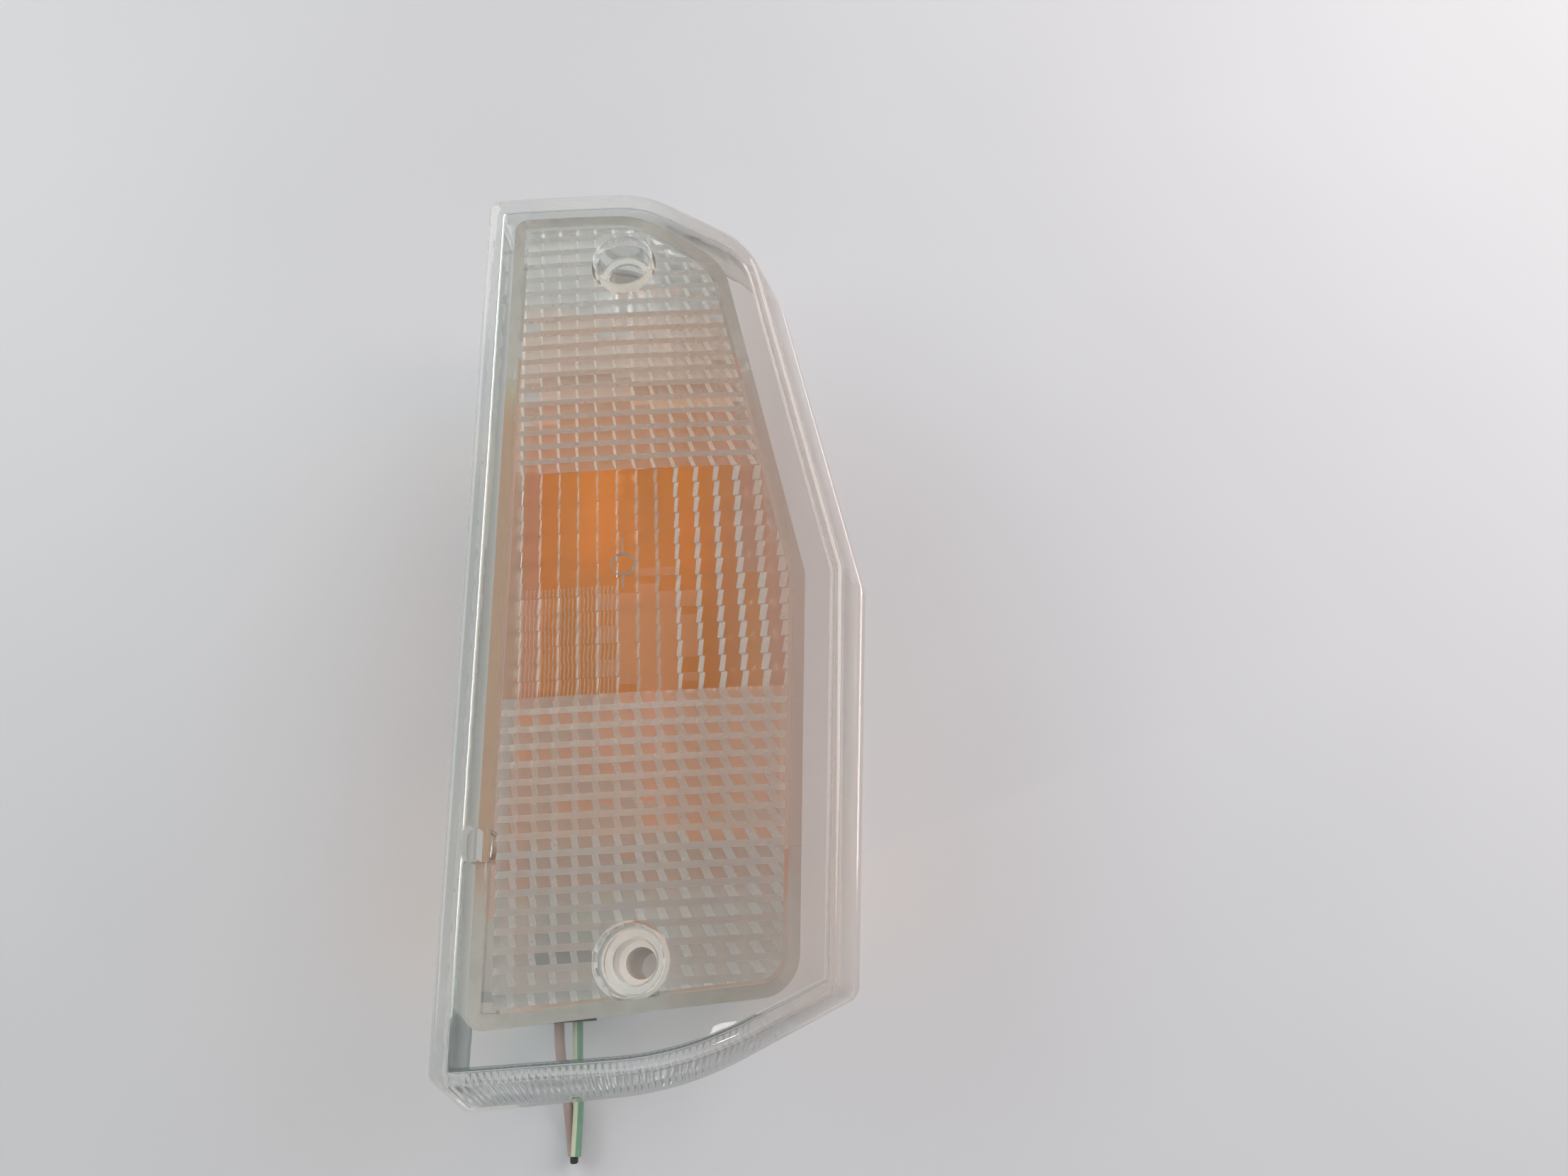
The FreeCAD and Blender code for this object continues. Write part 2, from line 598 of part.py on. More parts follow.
def socket_bracket():
    foot_z = (FOOT_Z, FOOT_Z + BRACKET_THICK)
    foot = box((-FOOT_HALF_WIDTH, FOOT_HALF_WIDTH), FOOT_Y, foot_z)
    wall_y = (FOOT_Y[1] - BRACKET_THICK, FOOT_Y[1])
    wall = box((-UPRIGHT_HALF_WIDTH, UPRIGHT_HALF_WIDTH), wall_y, (FOOT_Z, UPRIGHT_TOP_Z))
    bracket = foot.fuse(wall).cut(along_y(SHELL_R + CLEARANCE, 0, BULB_Z, *FOOT_Y))
    for x in (-BRACKET_SCREW_X, BRACKET_SCREW_X):
        bracket = bracket.cut(upright(BRACKET_SCREW_R + LOOSE_CLEARANCE, x, BRACKET_SCREW_Y, 0, CUTTER_TOP))
    return bracket.removeSplitter()


def bracket_screws():
    """Two pan-head screws; the left one also clamps the earth terminal's eye."""
    screws = []
    for x, lift in ((-BRACKET_SCREW_X, TAB_THICK), (BRACKET_SCREW_X, 0.0)):
        seat = FOOT_Z + BRACKET_THICK + lift
        head = upright(SCREW_HEAD_R, x, BRACKET_SCREW_Y, seat, seat + SCREW_HEAD_HEIGHT)
        top = seat + SCREW_HEAD_HEIGHT
        head = head.makeFillet(SCREW_HEAD_ROUND, [head.Edges[0]])
        slot_x = (x - SCREW_HEAD_R, x + SCREW_HEAD_R)
        slot_y = (BRACKET_SCREW_Y - SCREW_SLOT_WIDTH / 2, BRACKET_SCREW_Y + SCREW_SLOT_WIDTH / 2)
        slot = box(slot_x, slot_y, (top - SCREW_SLOT_DEPTH, top))
        shank = upright(BRACKET_SCREW_R, x, BRACKET_SCREW_Y, HOUSING_FLOOR + SCREW_TIP_GAP, seat)
        screws.append(head.cut(slot).fuse(shank).removeSplitter())
    return Part.makeCompound(screws)


# ---- leads ---------------------------------------------------------------------------------------
def cord_path(route, name):
    """Straight runs joined by tangent arcs, each as large as its two runs allow."""
    points = [Vector(*p) for p in route]
    edges = []
    start = points[0]
    length = 0.0
    for before, corner, after in zip(points, points[1:], points[2:]):
        back = (before - corner).normalize()
        ahead = (after - corner).normalize()
        half_turn = (math.pi - back.getAngle(ahead)) / 2
        reach = BEND_SHARE * min((before - corner).Length, (after - corner).Length)
        radius = reach / math.tan(half_turn)
        arc_start, arc_middle, arc_end = corner_arc(before, corner, after, radius)
        edges.append(Part.LineSegment(start, arc_start).toShape())
        edges.append(Part.Arc(arc_start, arc_middle, arc_end).toShape())
        print(name, "bend radius", round(radius, 1), "mm")
        start = arc_end
    edges.append(Part.LineSegment(start, points[-1]).toShape())
    for edge in edges:
        length += edge.Length
    return Part.Wire(edges), length


def lead(route, name):
    path, length = cord_path(route, name)
    start = Vector(*route[0])
    section = Part.Wire([Part.makeCircle(LEAD_R, start, Vector(*route[1]) - start)])
    tube = path.makePipeShell([section], True, False)
    ratio = tube.Volume / (math.pi * LEAD_R**2 * length)
    print(name, "length", round(length, 1), "mm, volume over section times length", round(ratio, 4))
    return tube


def lead_grommet(tub):
    """Rubber grommet moulded round both leads, with a flange on each side of the wall."""
    flanges = along_y(GROMMET_FLANGE_R, GROMMET_X, GROMMET_Z, *GROMMET_Y).cut(tub)
    body = flanges.fuse(along_y(GROMMET_R, GROMMET_X, GROMMET_Z, *GROMMET_Y)).removeSplitter()
    for x in (LEAD_LEFT_X, LEAD_RIGHT_X):
        body = body.cut(along_y(LEAD_R + CLEARANCE, x, GROMMET_Z, *LEAD_HOLE_Y))
    return body


def lead_end_sleeve(leads):
    """A small dark seal that closes both lead ends together."""
    seal = along_y(SEAL_R, SEAL_X, SEAL_Z, LEAD_END_Y - SEAL_LENGTH, LEAD_END_Y)
    tip = [edge for edge in seal.Edges if edge.BoundBox.YMax < LEAD_END_Y - SEAL_LENGTH / 2]
    seal = seal.makeFillet(SEAL_ROUND, tip)
    for tube in leads:
        seal = seal.cut(tube)
    return seal


def main():
    tub = housing_tub()
    brown = lead(BROWN_ROUTE, "brown_lead")
    green = lead(GREEN_ROUTE, "green_lead")
    nodes = {
        "outer_lens": outer_lens(),
        "amber_filter": amber_filter(),
        "lens_gasket": lens_gasket(),
        "housing": housing(tub),
        "reflector": reflector(),
        "bulb_glass": bulb_glass(),
        "glass_stem": glass_stem(),
        "filament_supports": support_wires(),
        "filament": filament(),
        "bulb_cap": bulb_cap(),
        "bulb_insulator": bulb_insulator(),
        "bulb_contact": bulb_contact(),
        "socket_shell": socket_shell(),
        "contact_disc": contact_disc(),
        "contact_plunger": contact_plunger(),
        "contact_spring": contact_spring(),
        "socket_end_plate": socket_end_plate(),
        "signal_terminal": signal_terminal(),
        "earth_terminal": earth_terminal(),
        "socket_bracket": socket_bracket(),
        "bracket_screws": bracket_screws(),
        "lead_grommet": lead_grommet(tub),
        "brown_lead": brown,
        "green_lead": green,
        "lead_end_sleeve": lead_end_sleeve([brown, green]),
    }
    for name, shape in nodes.items():
        print(name, shape.isValid(), len(shape.Solids), round(shape.Volume, 1))
        save(shape, name)


main()
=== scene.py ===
import json
import math

import bmesh
import bpy
from mathutils import Matrix, Vector
from mathutils.geometry import delaunay_2d_cdt


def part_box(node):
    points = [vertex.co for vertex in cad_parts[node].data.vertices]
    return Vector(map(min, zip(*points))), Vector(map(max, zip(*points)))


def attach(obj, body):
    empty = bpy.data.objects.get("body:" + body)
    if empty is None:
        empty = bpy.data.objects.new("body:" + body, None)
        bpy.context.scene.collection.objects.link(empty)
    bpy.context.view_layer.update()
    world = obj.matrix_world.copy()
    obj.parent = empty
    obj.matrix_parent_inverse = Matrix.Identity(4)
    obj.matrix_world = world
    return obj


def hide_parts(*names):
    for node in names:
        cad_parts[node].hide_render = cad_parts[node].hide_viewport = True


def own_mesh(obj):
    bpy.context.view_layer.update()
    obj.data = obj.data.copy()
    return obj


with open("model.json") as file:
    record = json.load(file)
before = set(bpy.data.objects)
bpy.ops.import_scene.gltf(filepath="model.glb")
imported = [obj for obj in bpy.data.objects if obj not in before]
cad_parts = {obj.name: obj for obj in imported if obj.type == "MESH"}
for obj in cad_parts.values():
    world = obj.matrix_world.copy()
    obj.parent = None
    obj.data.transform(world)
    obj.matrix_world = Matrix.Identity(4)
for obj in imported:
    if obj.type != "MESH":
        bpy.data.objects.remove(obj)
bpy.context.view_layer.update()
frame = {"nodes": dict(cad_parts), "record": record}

MM = 0.001
nodes = frame["nodes"]


# ---- the frame's own sizes, in millimetres -------------------------------------------------------
def node_box(name):
    """The low and high corners of a CAD node's box."""
    low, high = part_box(name)
    return low / MM, high / MM


LENS_LOW, LENS_HIGH = node_box("outer_lens")
GASKET_TOP = node_box("lens_gasket")[1].z
SPRING_LOW, SPRING_HIGH = node_box("contact_spring")
PATTERN = frame["record"]["mounts"][0]["dims"]
HOLE_Y = PATTERN["spacing_y_mm"] / 2
SKIRT_Z = LENS_LOW.z

# ---- lens dimensions -----------------------------------------------------------------------------
CROWN_RISE = 1.5
CROWN_X = 4.0
CROWN_HALF_WIDTH = 34.0
FRONT_Z = LENS_HIGH.z - CROWN_RISE
CROWN_RADIUS = (CROWN_HALF_WIDTH**2 + CROWN_RISE**2) / (2 * CROWN_RISE)
WALL = 2.6
EDGE_ROUND = 1.3
INNER_ROUND = 0.7
RIB_WIDTH = 2.2
FLANGE_TOP = GASKET_TOP + 1.0
FLANGE_RELIEF_Y = (-50.6, 48.1)
FLANGE_GAP = 0.06
GASKET_GAP = 0.01
FLANGE_TOLERANCE = 0.1
LEAST_RADIUS = 0.6
SHARP_DEG = 32.0

# Outlines are corners (x, y, corner radius), clockwise from the upper left.
FRONT_OUTLINE = [
    (-27.2, 83.2, 2.5),
    (4.5, 82.4, 20.0),
    (26.0, 69.2, 16.0),
    (39.5, 0.0, 6.0),
    (33.8, -73.0, 3.0),
    (9.0, -83.4, 60.0),
    (-32.5, -84.0, 2.5),
]
SKIRT_OUTLINE = [
    (-27.2, 84.7, 3.0),
    (6.0, 84.0, 21.0),
    (31.0, 71.2, 17.0),
    (44.7, 0.5, 6.0),
    (37.9, -74.2, 3.0),
    (7.0, -87.8, 60.0),
    (-32.6, -89.4, 3.0),
]
RIM_OUTLINE = [
    (-21.8, 78.5, 2.5),
    (3.5, 77.9, 17.0),
    (19.9, 66.0, 13.0),
    (32.4, -0.5, 6.0),
    (27.2, -73.2, 7.0),
    (-26.7, -76.3, 2.5),
]
TUBE_R = 6.4
TUBE_Z = 27.2
COUNTERBORE_R = 5.5
COUNTERBORE_FLOOR_Z = 36.0
BORE_R = 3.75
MOUTH_ROUND = 0.5
BORE_EDGE = 0.3
BORE_POINTS = 64
MOUTH_DEGREES = (0, 30, 60, 82)
CUTTER_SPARE = 0.3
CUTTER_ABOVE = 2.0
ARC_POINTS = 8
ARC_DENSITY = 0.35
POST_CENTRE = (-26.9, -46.2)
POST_HALF_WIDTH = 1.6
POST_HALF_LENGTH = 3.1
POST_Z = 33.0
POST_POINTS = 32

# Prisms stand down from the inner face in a grid. Columns run along Y and widen slowly to the right.
# In the middle band each prism is a nearly flat pane. Above and below it the rows are steep as well.
COLUMNS = 16
COLUMN_START = -22.6
COLUMN_PITCH = 3.36
COLUMN_GROWTH = 0.022
MIDDLE_Y = (-21.5, 21.6)
MIDDLE_ROWS = 14
ROW_PITCH = (MIDDLE_Y[1] - MIDDLE_Y[0]) / MIDDLE_ROWS
ROWS_BELOW = 19
ROWS_ABOVE = 19

# Lines of points in a row: (share of the row, share of the slope reached, is the next strip steep)
MIDDLE_LINES = ((0.001, 0.001, False), (0.5, 0.5, False), (0.93, 0.93, False))
LOWER_LINES = ((0.0, 0.0, True), (0.4, 1.0, False), (0.7, 0.5, False))
UPPER_LINES = ((0.0, 0.0, False), (0.36, 0.5, False), (0.72, 1.0, True))

# Share of a column's width that its steep side takes: (at the left, how much is added to the right)
MIDDLE_RISER = (0.09, 0.37)
LOWER_RISER = (0.33, 0.15)
UPPER_RISER = (0.15, 0.22)
RISERS_GROW_FROM = 5

# Depth and sideways lean of the prisms
PRISM_BASE = 0.35
PANE_STEP = 0.3
CROSSED_STEP = 0.8
BULGE = 0.05
SHEAR = 1.1
LEAST_SHEAR = 0.25
LEAST_STEP = 0.5
PANES_GROW_FROM = 4
PANE_DROP = 0.14
PANE_LEAN = (0.22, 0.75)
LEAN_POWER = 1.5
WAVE = 0.06
WAVE_TURNS = (0.55, 1.7)
TILT_TURNS = (12.9898, 78.233)
MICRO_COLUMNS = (1, 5)
MICRO_FLUTES = 9
MICRO_DEPTH = 0.05
MICRO_Y = (-21.5, -3.0)

# Where the prisms' finishes change, with their painted glow, veil, shade and highlights; the borders wander
# from pane to pane
LOWER_WINDOW = (2, 12)
UPPER_WINDOW = (2, 11)
AMBER_GLOW_TO_Y = 38.0
WARM_Y = (-46.0, 56.0)
LOWER_WARM = (6, 3.5)
UPPER_WARM = (2, 0.5)
RAGGED_Y = 12.0
# The painted veil's patch in the window: painted shade with a faint painted reflection
VEIL_CENTRE = (4.0, -11.0)
VEIL_REACH = (9.0, 11.0)
VEIL_RAGGED = 0.8
# Columns from here on get painted highlights on their steep sides in the window
BRIGHT_FROM = 8

MOAT = 0.7
ZONE_DEPTH = 3.0
MARK_CENTRE = (-0.7, 2.6)
MARK_R = 2.1
MARK_HALF_WIDTH = 0.16
MARK_DEPTH = 0.95
MARK_POINTS = 48
MARK_LINE_REACH = (2.2, 2.6)
MARK_LINE_HALF_WIDTH = 0.12

# Fine upright flutes inside the lower wall, fading out at its ends
FLUTE_PITCH = 1.12
FLUTE_DEPTH = 0.32
FLUTES_X = (-28.5, 26.0)
FLUTES_FADE = (2.0, 8.0)
FLUTES_BELOW_Y = -60.0
FLUTES_CLEAR = 1.0
LOW_WALL_Y = -76.0

# Spacing of mesh points
FLUTE_SPACING = FLUTE_PITCH / 6
LOW_SIDES_Y = -70.0
WALL_SPACING = 2.5
RIM_SPACING = 2.0
EDGE_STEPS = 5
INNER_STEPS = 3
SPREAD_X = [i * 2.0 + 0.5 for i in range(-16, 20)]
SPREAD_Y = [j * 6.0 for j in range(-14, 15)]
SPREAD_CLEAR = 0.9


# ---- outline helpers -----------------------------------------------------------------------------
def inset(outline, distance):
    """The same outline moved inwards by a distance all round."""
    result = []
    count = len(outline)
    for i, (x, y, radius) in enumerate(outline):
        x0, y0 = outline[i - 1][:2]
        x2, y2 = outline[(i + 1) % count][:2]
        first = Vector((x - x0, y - y0)).normalized()
        second = Vector((x2 - x, y2 - y)).normalized()
        normal_1 = Vector((first.y, -first.x))
        normal_2 = Vector((second.y, -second.x))
        shift = (normal_1 + normal_2) * (distance / (1 + normal_1.dot(normal_2)))
        result.append((x + shift.x, y + shift.y, max(radius - distance, LEAST_RADIUS)))
    return result


def lens_section(z):
    """The lens outline at height z, on straight lines from the skirt to the front."""
    share = (z - SKIRT_Z) / (FRONT_Z - SKIRT_Z)
    pairs = zip(SKIRT_OUTLINE, FRONT_OUTLINE)
    return [tuple(a + (b - a) * share for a, b in zip(low, high)) for low, high in pairs]


def arc_counts(outline, spacing):
    """Points on each corner's arc: more on the large, gentle corners."""
    return [max(ARC_POINTS, round(ARC_DENSITY * radius / spacing)) for *_, radius in outline]


def sampled(outline, edge_counts, arc_points):
    """Points round an outline: each corner's arc, then the straight edge after it."""
    points = []
    ends = []
    for i, (x, y, radius) in enumerate(outline):
        corner = Vector((x, y))
        back = (Vector(outline[i - 1][:2]) - corner).normalized()
        ahead = (Vector(outline[(i + 1) % len(outline)][:2]) - corner).normalized()
        half = back.angle(ahead) / 2
        centre = corner + (back + ahead).normalized() * (radius / math.sin(half))
        reach = radius / math.tan(half)
        start = corner + back * reach - centre
        turn = -(math.pi - 2 * half)
        arc = []
        for k in range(arc_points[i] + 1):
            arc.append(centre + Matrix.Rotation(turn * k / arc_points[i], 2) @ start)
        ends.append(arc)
    for i, arc in enumerate(ends):
        points += arc
        following = ends[(i + 1) % len(ends)][0]
        for k in range(1, edge_counts[i]):
            points.append(arc[-1].lerp(following, k / edge_counts[i]))
    return points


def crown(x, y=0.0):
    """Height of the crowned front face."""
    return FRONT_Z + CROWN_RISE - CROWN_RADIUS + math.sqrt(CROWN_RADIUS**2 - (x - CROWN_X) ** 2)


def circle(x, y, radius, count):
    """Points round a circle."""
    turns = [2 * math.pi * k / count for k in range(count)]
    return [Vector((x + radius * math.cos(t), y + radius * math.sin(t))) for t in turns]


def side_counts(outline, spacing, low_spacing=None):
    """Points on each straight side of an outline; the sides of the lower wall may have closer ones."""
    counts = []
    for i, (x, y, _) in enumerate(outline):
        x2, y2 = outline[(i + 1) % len(outline)][:2]
        close = low_spacing is not None and max(y, y2) < LOW_SIDES_Y
        counts.append(round(math.hypot(x2 - x, y2 - y) / (low_spacing if close else spacing)))
    return counts


def inside(point, polygon):
    """True if a point lies within a polygon."""
    x, y = point
    hit = False
    for i, b in enumerate(polygon):
        a = polygon[i - 1]
        if (a.y > y) != (b.y > y) and x < a.x + (b.x - a.x) * (y - a.y) / (b.y - a.y):
            hit = not hit
    return hit


# ---- mesh building -------------------------------------------------------------------------------
class Skin:
    """Points and faces of one closed mesh, in millimetres."""

    def __init__(self):
        self.points = []
        self.faces = []
        self.slots = []

    def face(self, corners, slot):
        self.faces.append(corners)
        self.slots.append(slot)

    def ring(self, flat, height):
        """Add a closed ring; height is a number or a function of x and y."""
        start = len(self.points)
        for p in flat:
            z = height(p.x, p.y) if callable(height) else height
            self.points.append(Vector((p.x, p.y, z)))
        return list(range(start, start + len(flat)))

    def band(self, a, b, slot=0, low_wall_slot=None):
        """Faces between two rings; those of the lower wall may have a finish of their own."""
        for i in range(len(a)):
            j = (i + 1) % len(a)
            low_wall = low_wall_slot is not None and self.points[a[i]].y < LOW_WALL_Y
            self.face((a[i], a[j], b[j], b[i]), low_wall_slot if low_wall else slot)

    def fill(self, outer, holes, inner_points, height, slot_at=lambda x, y: 0):
        """Triangles between an outer ring and hole rings, through the given points."""
        rings = [outer] + holes
        index = [i for ring in rings for i in ring]
        flat = [self.points[i].to_2d() for i in index]
        edges = []
        start = 0
        for ring in rings:
            count = len(ring)
            edges += [(start + k, start + (k + 1) % count) for k in range(count)]
            start += count
        for p in inner_points:
            index.append(len(self.points))
            self.points.append(Vector((p.x, p.y, height(p.x, p.y))))
            flat.append(p)
        out = delaunay_2d_cdt(flat, edges, [], 1, 1e-5)
        hole_polygons = [[self.points[i].to_2d() for i in ring] for ring in holes]
        for face in out[2]:
            middle = sum((out[0][k] for k in face), Vector((0, 0))) / len(face)
            if any(inside(middle, polygon) for polygon in hole_polygons):
                continue
            self.face(tuple(index[out[3][k][0]] for k in face), slot_at(middle.x, middle.y))

    def piece(self, name, materials):
        """Put the skin in the scene as a piece."""
        mesh = bpy.data.meshes.new(name)
        mesh.from_pydata([p * MM for p in self.points], [], self.faces)
        for material in materials:
            mesh.materials.append(material)
        mesh.polygons.foreach_set("material_index", self.slots)
        return finished(mesh, name, SHARP_DEG)


def finished(mesh, name, sharp_deg):
    """Orient and smooth a mesh, and put it in the scene."""
    work = bmesh.new()
    work.from_mesh(mesh)
    bmesh.ops.recalc_face_normals(work, faces=work.faces)
    work.to_mesh(mesh)
    work.free()
    mesh.shade_smooth()
    mesh.set_sharp_from_angle(angle=math.radians(sharp_deg))
    piece = bpy.data.objects.new(name, mesh)
    bpy.context.scene.collection.objects.link(piece)
    return piece


# ---- materials -----------------------------------------------------------------------------------
NOISE_DETAIL = 3.0
NOISE_ROUGHNESS = 0.55
CLEAR_IOR = 1.49
CLEAR_NOISE_SCALE = 220.0
MILKY_DEPTH = 0.004
BUMP_HEIGHT = 0.0002


def new_material(name):
    """A material with its tree and its shader."""
    material = bpy.data.materials.new(name)
    material.use_nodes = True
    tree = material.node_tree
    return material, tree, tree.nodes["Principled BSDF"]


def noise(tree, scale):
    """A noise texture over the piece's own place, in metres."""
    place = tree.nodes.new("ShaderNodeTexCoord")
    texture = tree.nodes.new("ShaderNodeTexNoise")
    texture.inputs["Scale"].default_value = scale
    texture.inputs["Detail"].default_value = NOISE_DETAIL
    texture.inputs["Roughness"].default_value = NOISE_ROUGHNESS
    tree.links.new(place.outputs["Object"], texture.inputs["Vector"])
    return texture.outputs["Fac"]


def ramp(tree, value, stops):
    """Colours along a value; stops are two pairs of (position, colour)."""
    node = tree.nodes.new("ShaderNodeValToRGB")
    for element, (position, colour) in zip(node.color_ramp.elements, stops):
        element.position = position
        element.color = (*colour, 1.0)
    tree.links.new(value, node.inputs["Fac"])
    return node.outputs["Color"]


def span(tree, value, low, high):
    """Map a 0 to 1 value to a range."""
    node = tree.nodes.new("ShaderNodeMapRange")
    node.inputs["To Min"].default_value = low
    node.inputs["To Max"].default_value = high
    tree.links.new(value, node.inputs["Value"])
    return node.outputs["Result"]


def bump(tree, shader, value, strength, distance):
    """Let a value raise the surface in the shading."""
    node = tree.nodes.new("ShaderNodeBump")
    node.inputs["Strength"].default_value = strength
    node.inputs["Distance"].default_value = distance
    tree.links.new(value, node.inputs["Height"])
    tree.links.new(node.outputs["Normal"], shader.inputs["Normal"])


def let_lamps_through(tree, tint):
    """Rays from the lamps pass a piece straight, tinted, instead of casting a black shadow."""
    shader = tree.nodes["Principled BSDF"]
    output = tree.nodes["Material Output"]
    path = tree.nodes.new("ShaderNodeLightPath")
    clear = tree.nodes.new("ShaderNodeBsdfTransparent")
    clear.inputs["Color"].default_value = (*tint, 1.0)
    mix = tree.nodes.new("ShaderNodeMixShader")
    tree.links.new(path.outputs["Is Shadow Ray"], mix.inputs[0])
    tree.links.new(shader.outputs["BSDF"], mix.inputs[1])
    tree.links.new(clear.outputs["BSDF"], mix.inputs[2])
    tree.links.new(mix.outputs["Shader"], output.inputs["Surface"])


def clear_material(name, colour, roughness, tint, clearness=1.0):
    """A clear plastic or glass; below full clearness the rest of it is a pale haze."""
    material, tree, shader = new_material(name)
    shader.inputs["Base Color"].default_value = (*colour, 1.0)
    shader.inputs["Transmission Weight"].default_value = clearness
    shader.inputs["IOR"].default_value = CLEAR_IOR
    tree.links.new(span(tree, noise(tree, CLEAR_NOISE_SCALE), *roughness), shader.inputs["Roughness"])
    let_lamps_through(tree, tint)
    return material


def plain_material(name, dark, light, roughness, metallic=0.0, scale=300.0, bumpy=0.0, milky=0.0):
    """An opaque surface whose colour and roughness vary a little."""
    material, tree, shader = new_material(name)
    value = noise(tree, scale)
    tree.links.new(ramp(tree, value, [(0.3, dark), (0.7, light)]), shader.inputs["Base Color"])
    tree.links.new(span(tree, value, *roughness), shader.inputs["Roughness"])
    shader.inputs["Metallic"].default_value = metallic
    shader.inputs["Subsurface Weight"].default_value = milky
    shader.inputs["Subsurface Scale"].default_value = MILKY_DEPTH
    if bumpy:
        bump(tree, shader, value, bumpy, BUMP_HEIGHT)
    return material


# ---- camera and light ----------------------------------------------------------------------------
CAMERA_LENS = 27.03
CAMERA_SENSOR = 36.0
CAMERA_PLACE = Vector((24.7, -73.7, FRONT_Z + 201.0))
CAMERA_FORWARD = Vector((0.0175, 0.3285, -0.9443))
CAMERA_UP = Vector((0.0502, 0.9430, 0.3289))
LAMPS_AIM = Vector((0, 0, 0.02))
FLOOR_HALF = 2.0


def build_camera():
    """The camera, at the photograph's viewing angle."""
    data = bpy.data.cameras.new("camera")
    data.lens = CAMERA_LENS
    data.sensor_width = CAMERA_SENSOR
    camera = bpy.data.objects.new("camera", data)
    bpy.context.scene.collection.objects.link(camera)
    forward = CAMERA_FORWARD.normalized()
    right = forward.cross(CAMERA_UP).normalized()
    up = right.cross(forward)
    turn = Matrix((right, up, -forward)).transposed().to_4x4()
    camera.matrix_world = Matrix.Translation(CAMERA_PLACE * MM) @ turn
    bpy.context.scene.camera = camera


def area_light(name, place, size, power, colour):
    """A rectangular lamp aimed at the object."""
    data = bpy.data.lights.new(name, "AREA")
    data.shape = "RECTANGLE"
    data.size, data.size_y = size
    data.energy = power
    data.color = colour
    lamp = bpy.data.objects.new(name, data)
    bpy.context.scene.collection.objects.link(lamp)
    place = Vector(place)
    aim = (LAMPS_AIM - place).to_track_quat("-Z", "Y").to_matrix().to_4x4()
    lamp.matrix_world = Matrix.Translation(place) @ aim


def build_floor():
    """A plain pale floor."""
    mesh = bpy.data.meshes.new("floor")
    half = FLOOR_HALF
    corners = [(-half, -half, 0), (half, -half, 0), (half, half, 0), (-half, half, 0)]
    mesh.from_pydata(corners, [], [(0, 1, 2, 3)])
    floor = bpy.data.objects.new("floor", mesh)
    bpy.context.scene.collection.objects.link(floor)
    table = plain_material("pale_table", (0.60, 0.60, 0.62), (0.64, 0.64, 0.66), (0.5, 0.6), scale=6.0)
    mesh.materials.append(table)


def build_light():
    """A pale room, three large soft lamps and a small one above."""
    world = bpy.data.worlds.new("world")
    world.use_nodes = True
    bpy.context.scene.world = world
    background = world.node_tree.nodes["Background"]
    background.inputs["Color"].default_value = (0.90, 0.94, 0.97, 1.0)
    background.inputs["Strength"].default_value = 0.3
    area_light("window_left", (-0.66, 0.36, 0.40), (0.9, 0.6), 4.4, (0.96, 1.0, 0.97))
    area_light("window_right", (0.6, 0.34, 0.42), (0.8, 0.5), 5.6, (1.0, 0.93, 0.92))
    area_light("window_front", (0.15, -0.95, 0.6), (1.1, 0.7), 1.9, (0.95, 0.98, 1.0))
    area_light("ceiling_lamp", (0.16, -0.5, 1.3), (0.09, 0.09), 0.8, (1.0, 1.0, 0.98))
    bpy.context.scene.view_settings.view_transform = "Standard"


# ---- placing pieces ------------------------------------------------------------------------------
def put(piece, body, node):
    """Let a visual piece ride on a body in place of a CAD node."""
    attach(piece, body)
    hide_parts(node)


def dress(name, material):
    """Give a CAD part its finish; its shape stays as it is."""
    mesh = nodes[name].data
    mesh.materials.clear()
    mesh.materials.append(material)


# ---- leads ---------------------------------------------------------------------------------------
LEAD_R = 0.95
STRIPE_R = 0.88
STRIPE_SHIFT = (-0.09, -0.02, 0.08)

# The leads' routes, from the crimps to the seal at their ends.
BROWN_ROUTE = [
    (-14.0, -51.7, 10.2),
    (-14.0, -57.5, 10.2),
    (-17.4, -65.0, 8.0),
    (-17.4, -82.0, 8.0),
    (-16.9, -90.0, 1.0),
    (-16.05, -99.3, 1.0),
]
GREEN_ROUTE = [
    (-4.2, -51.7, 14.2),
    (-4.2, -58.0, 14.2),
    (-9.0, -62.6, 10.8),
    (-13.9, -67.2, 8.0),
    (-13.9, -81.5, 8.0),
    (-14.75, -89.5, 1.6),
    (-15.2, -99.3, 2.9),
]


def build_tube(name, route, radius, material):
    """A smooth round cord along a route."""
    curve = bpy.data.curves.new(name, "CURVE")
    curve.dimensions = "3D"
    curve.resolution_u = 14
    curve.bevel_depth = radius * MM
    curve.bevel_resolution = 6
    curve.use_fill_caps = True
    spline = curve.splines.new("NURBS")
    spline.points.add(len(route) - 1)
    for point, place in zip(spline.points, route):
        point.co = (*(Vector(place) * MM), 1.0)
    spline.order_u = 3
    spline.use_endpoint_u = True
    curve.materials.append(material)
    tube = bpy.data.objects.new(name, curve)
    bpy.context.scene.collection.objects.link(tube)
    return tube


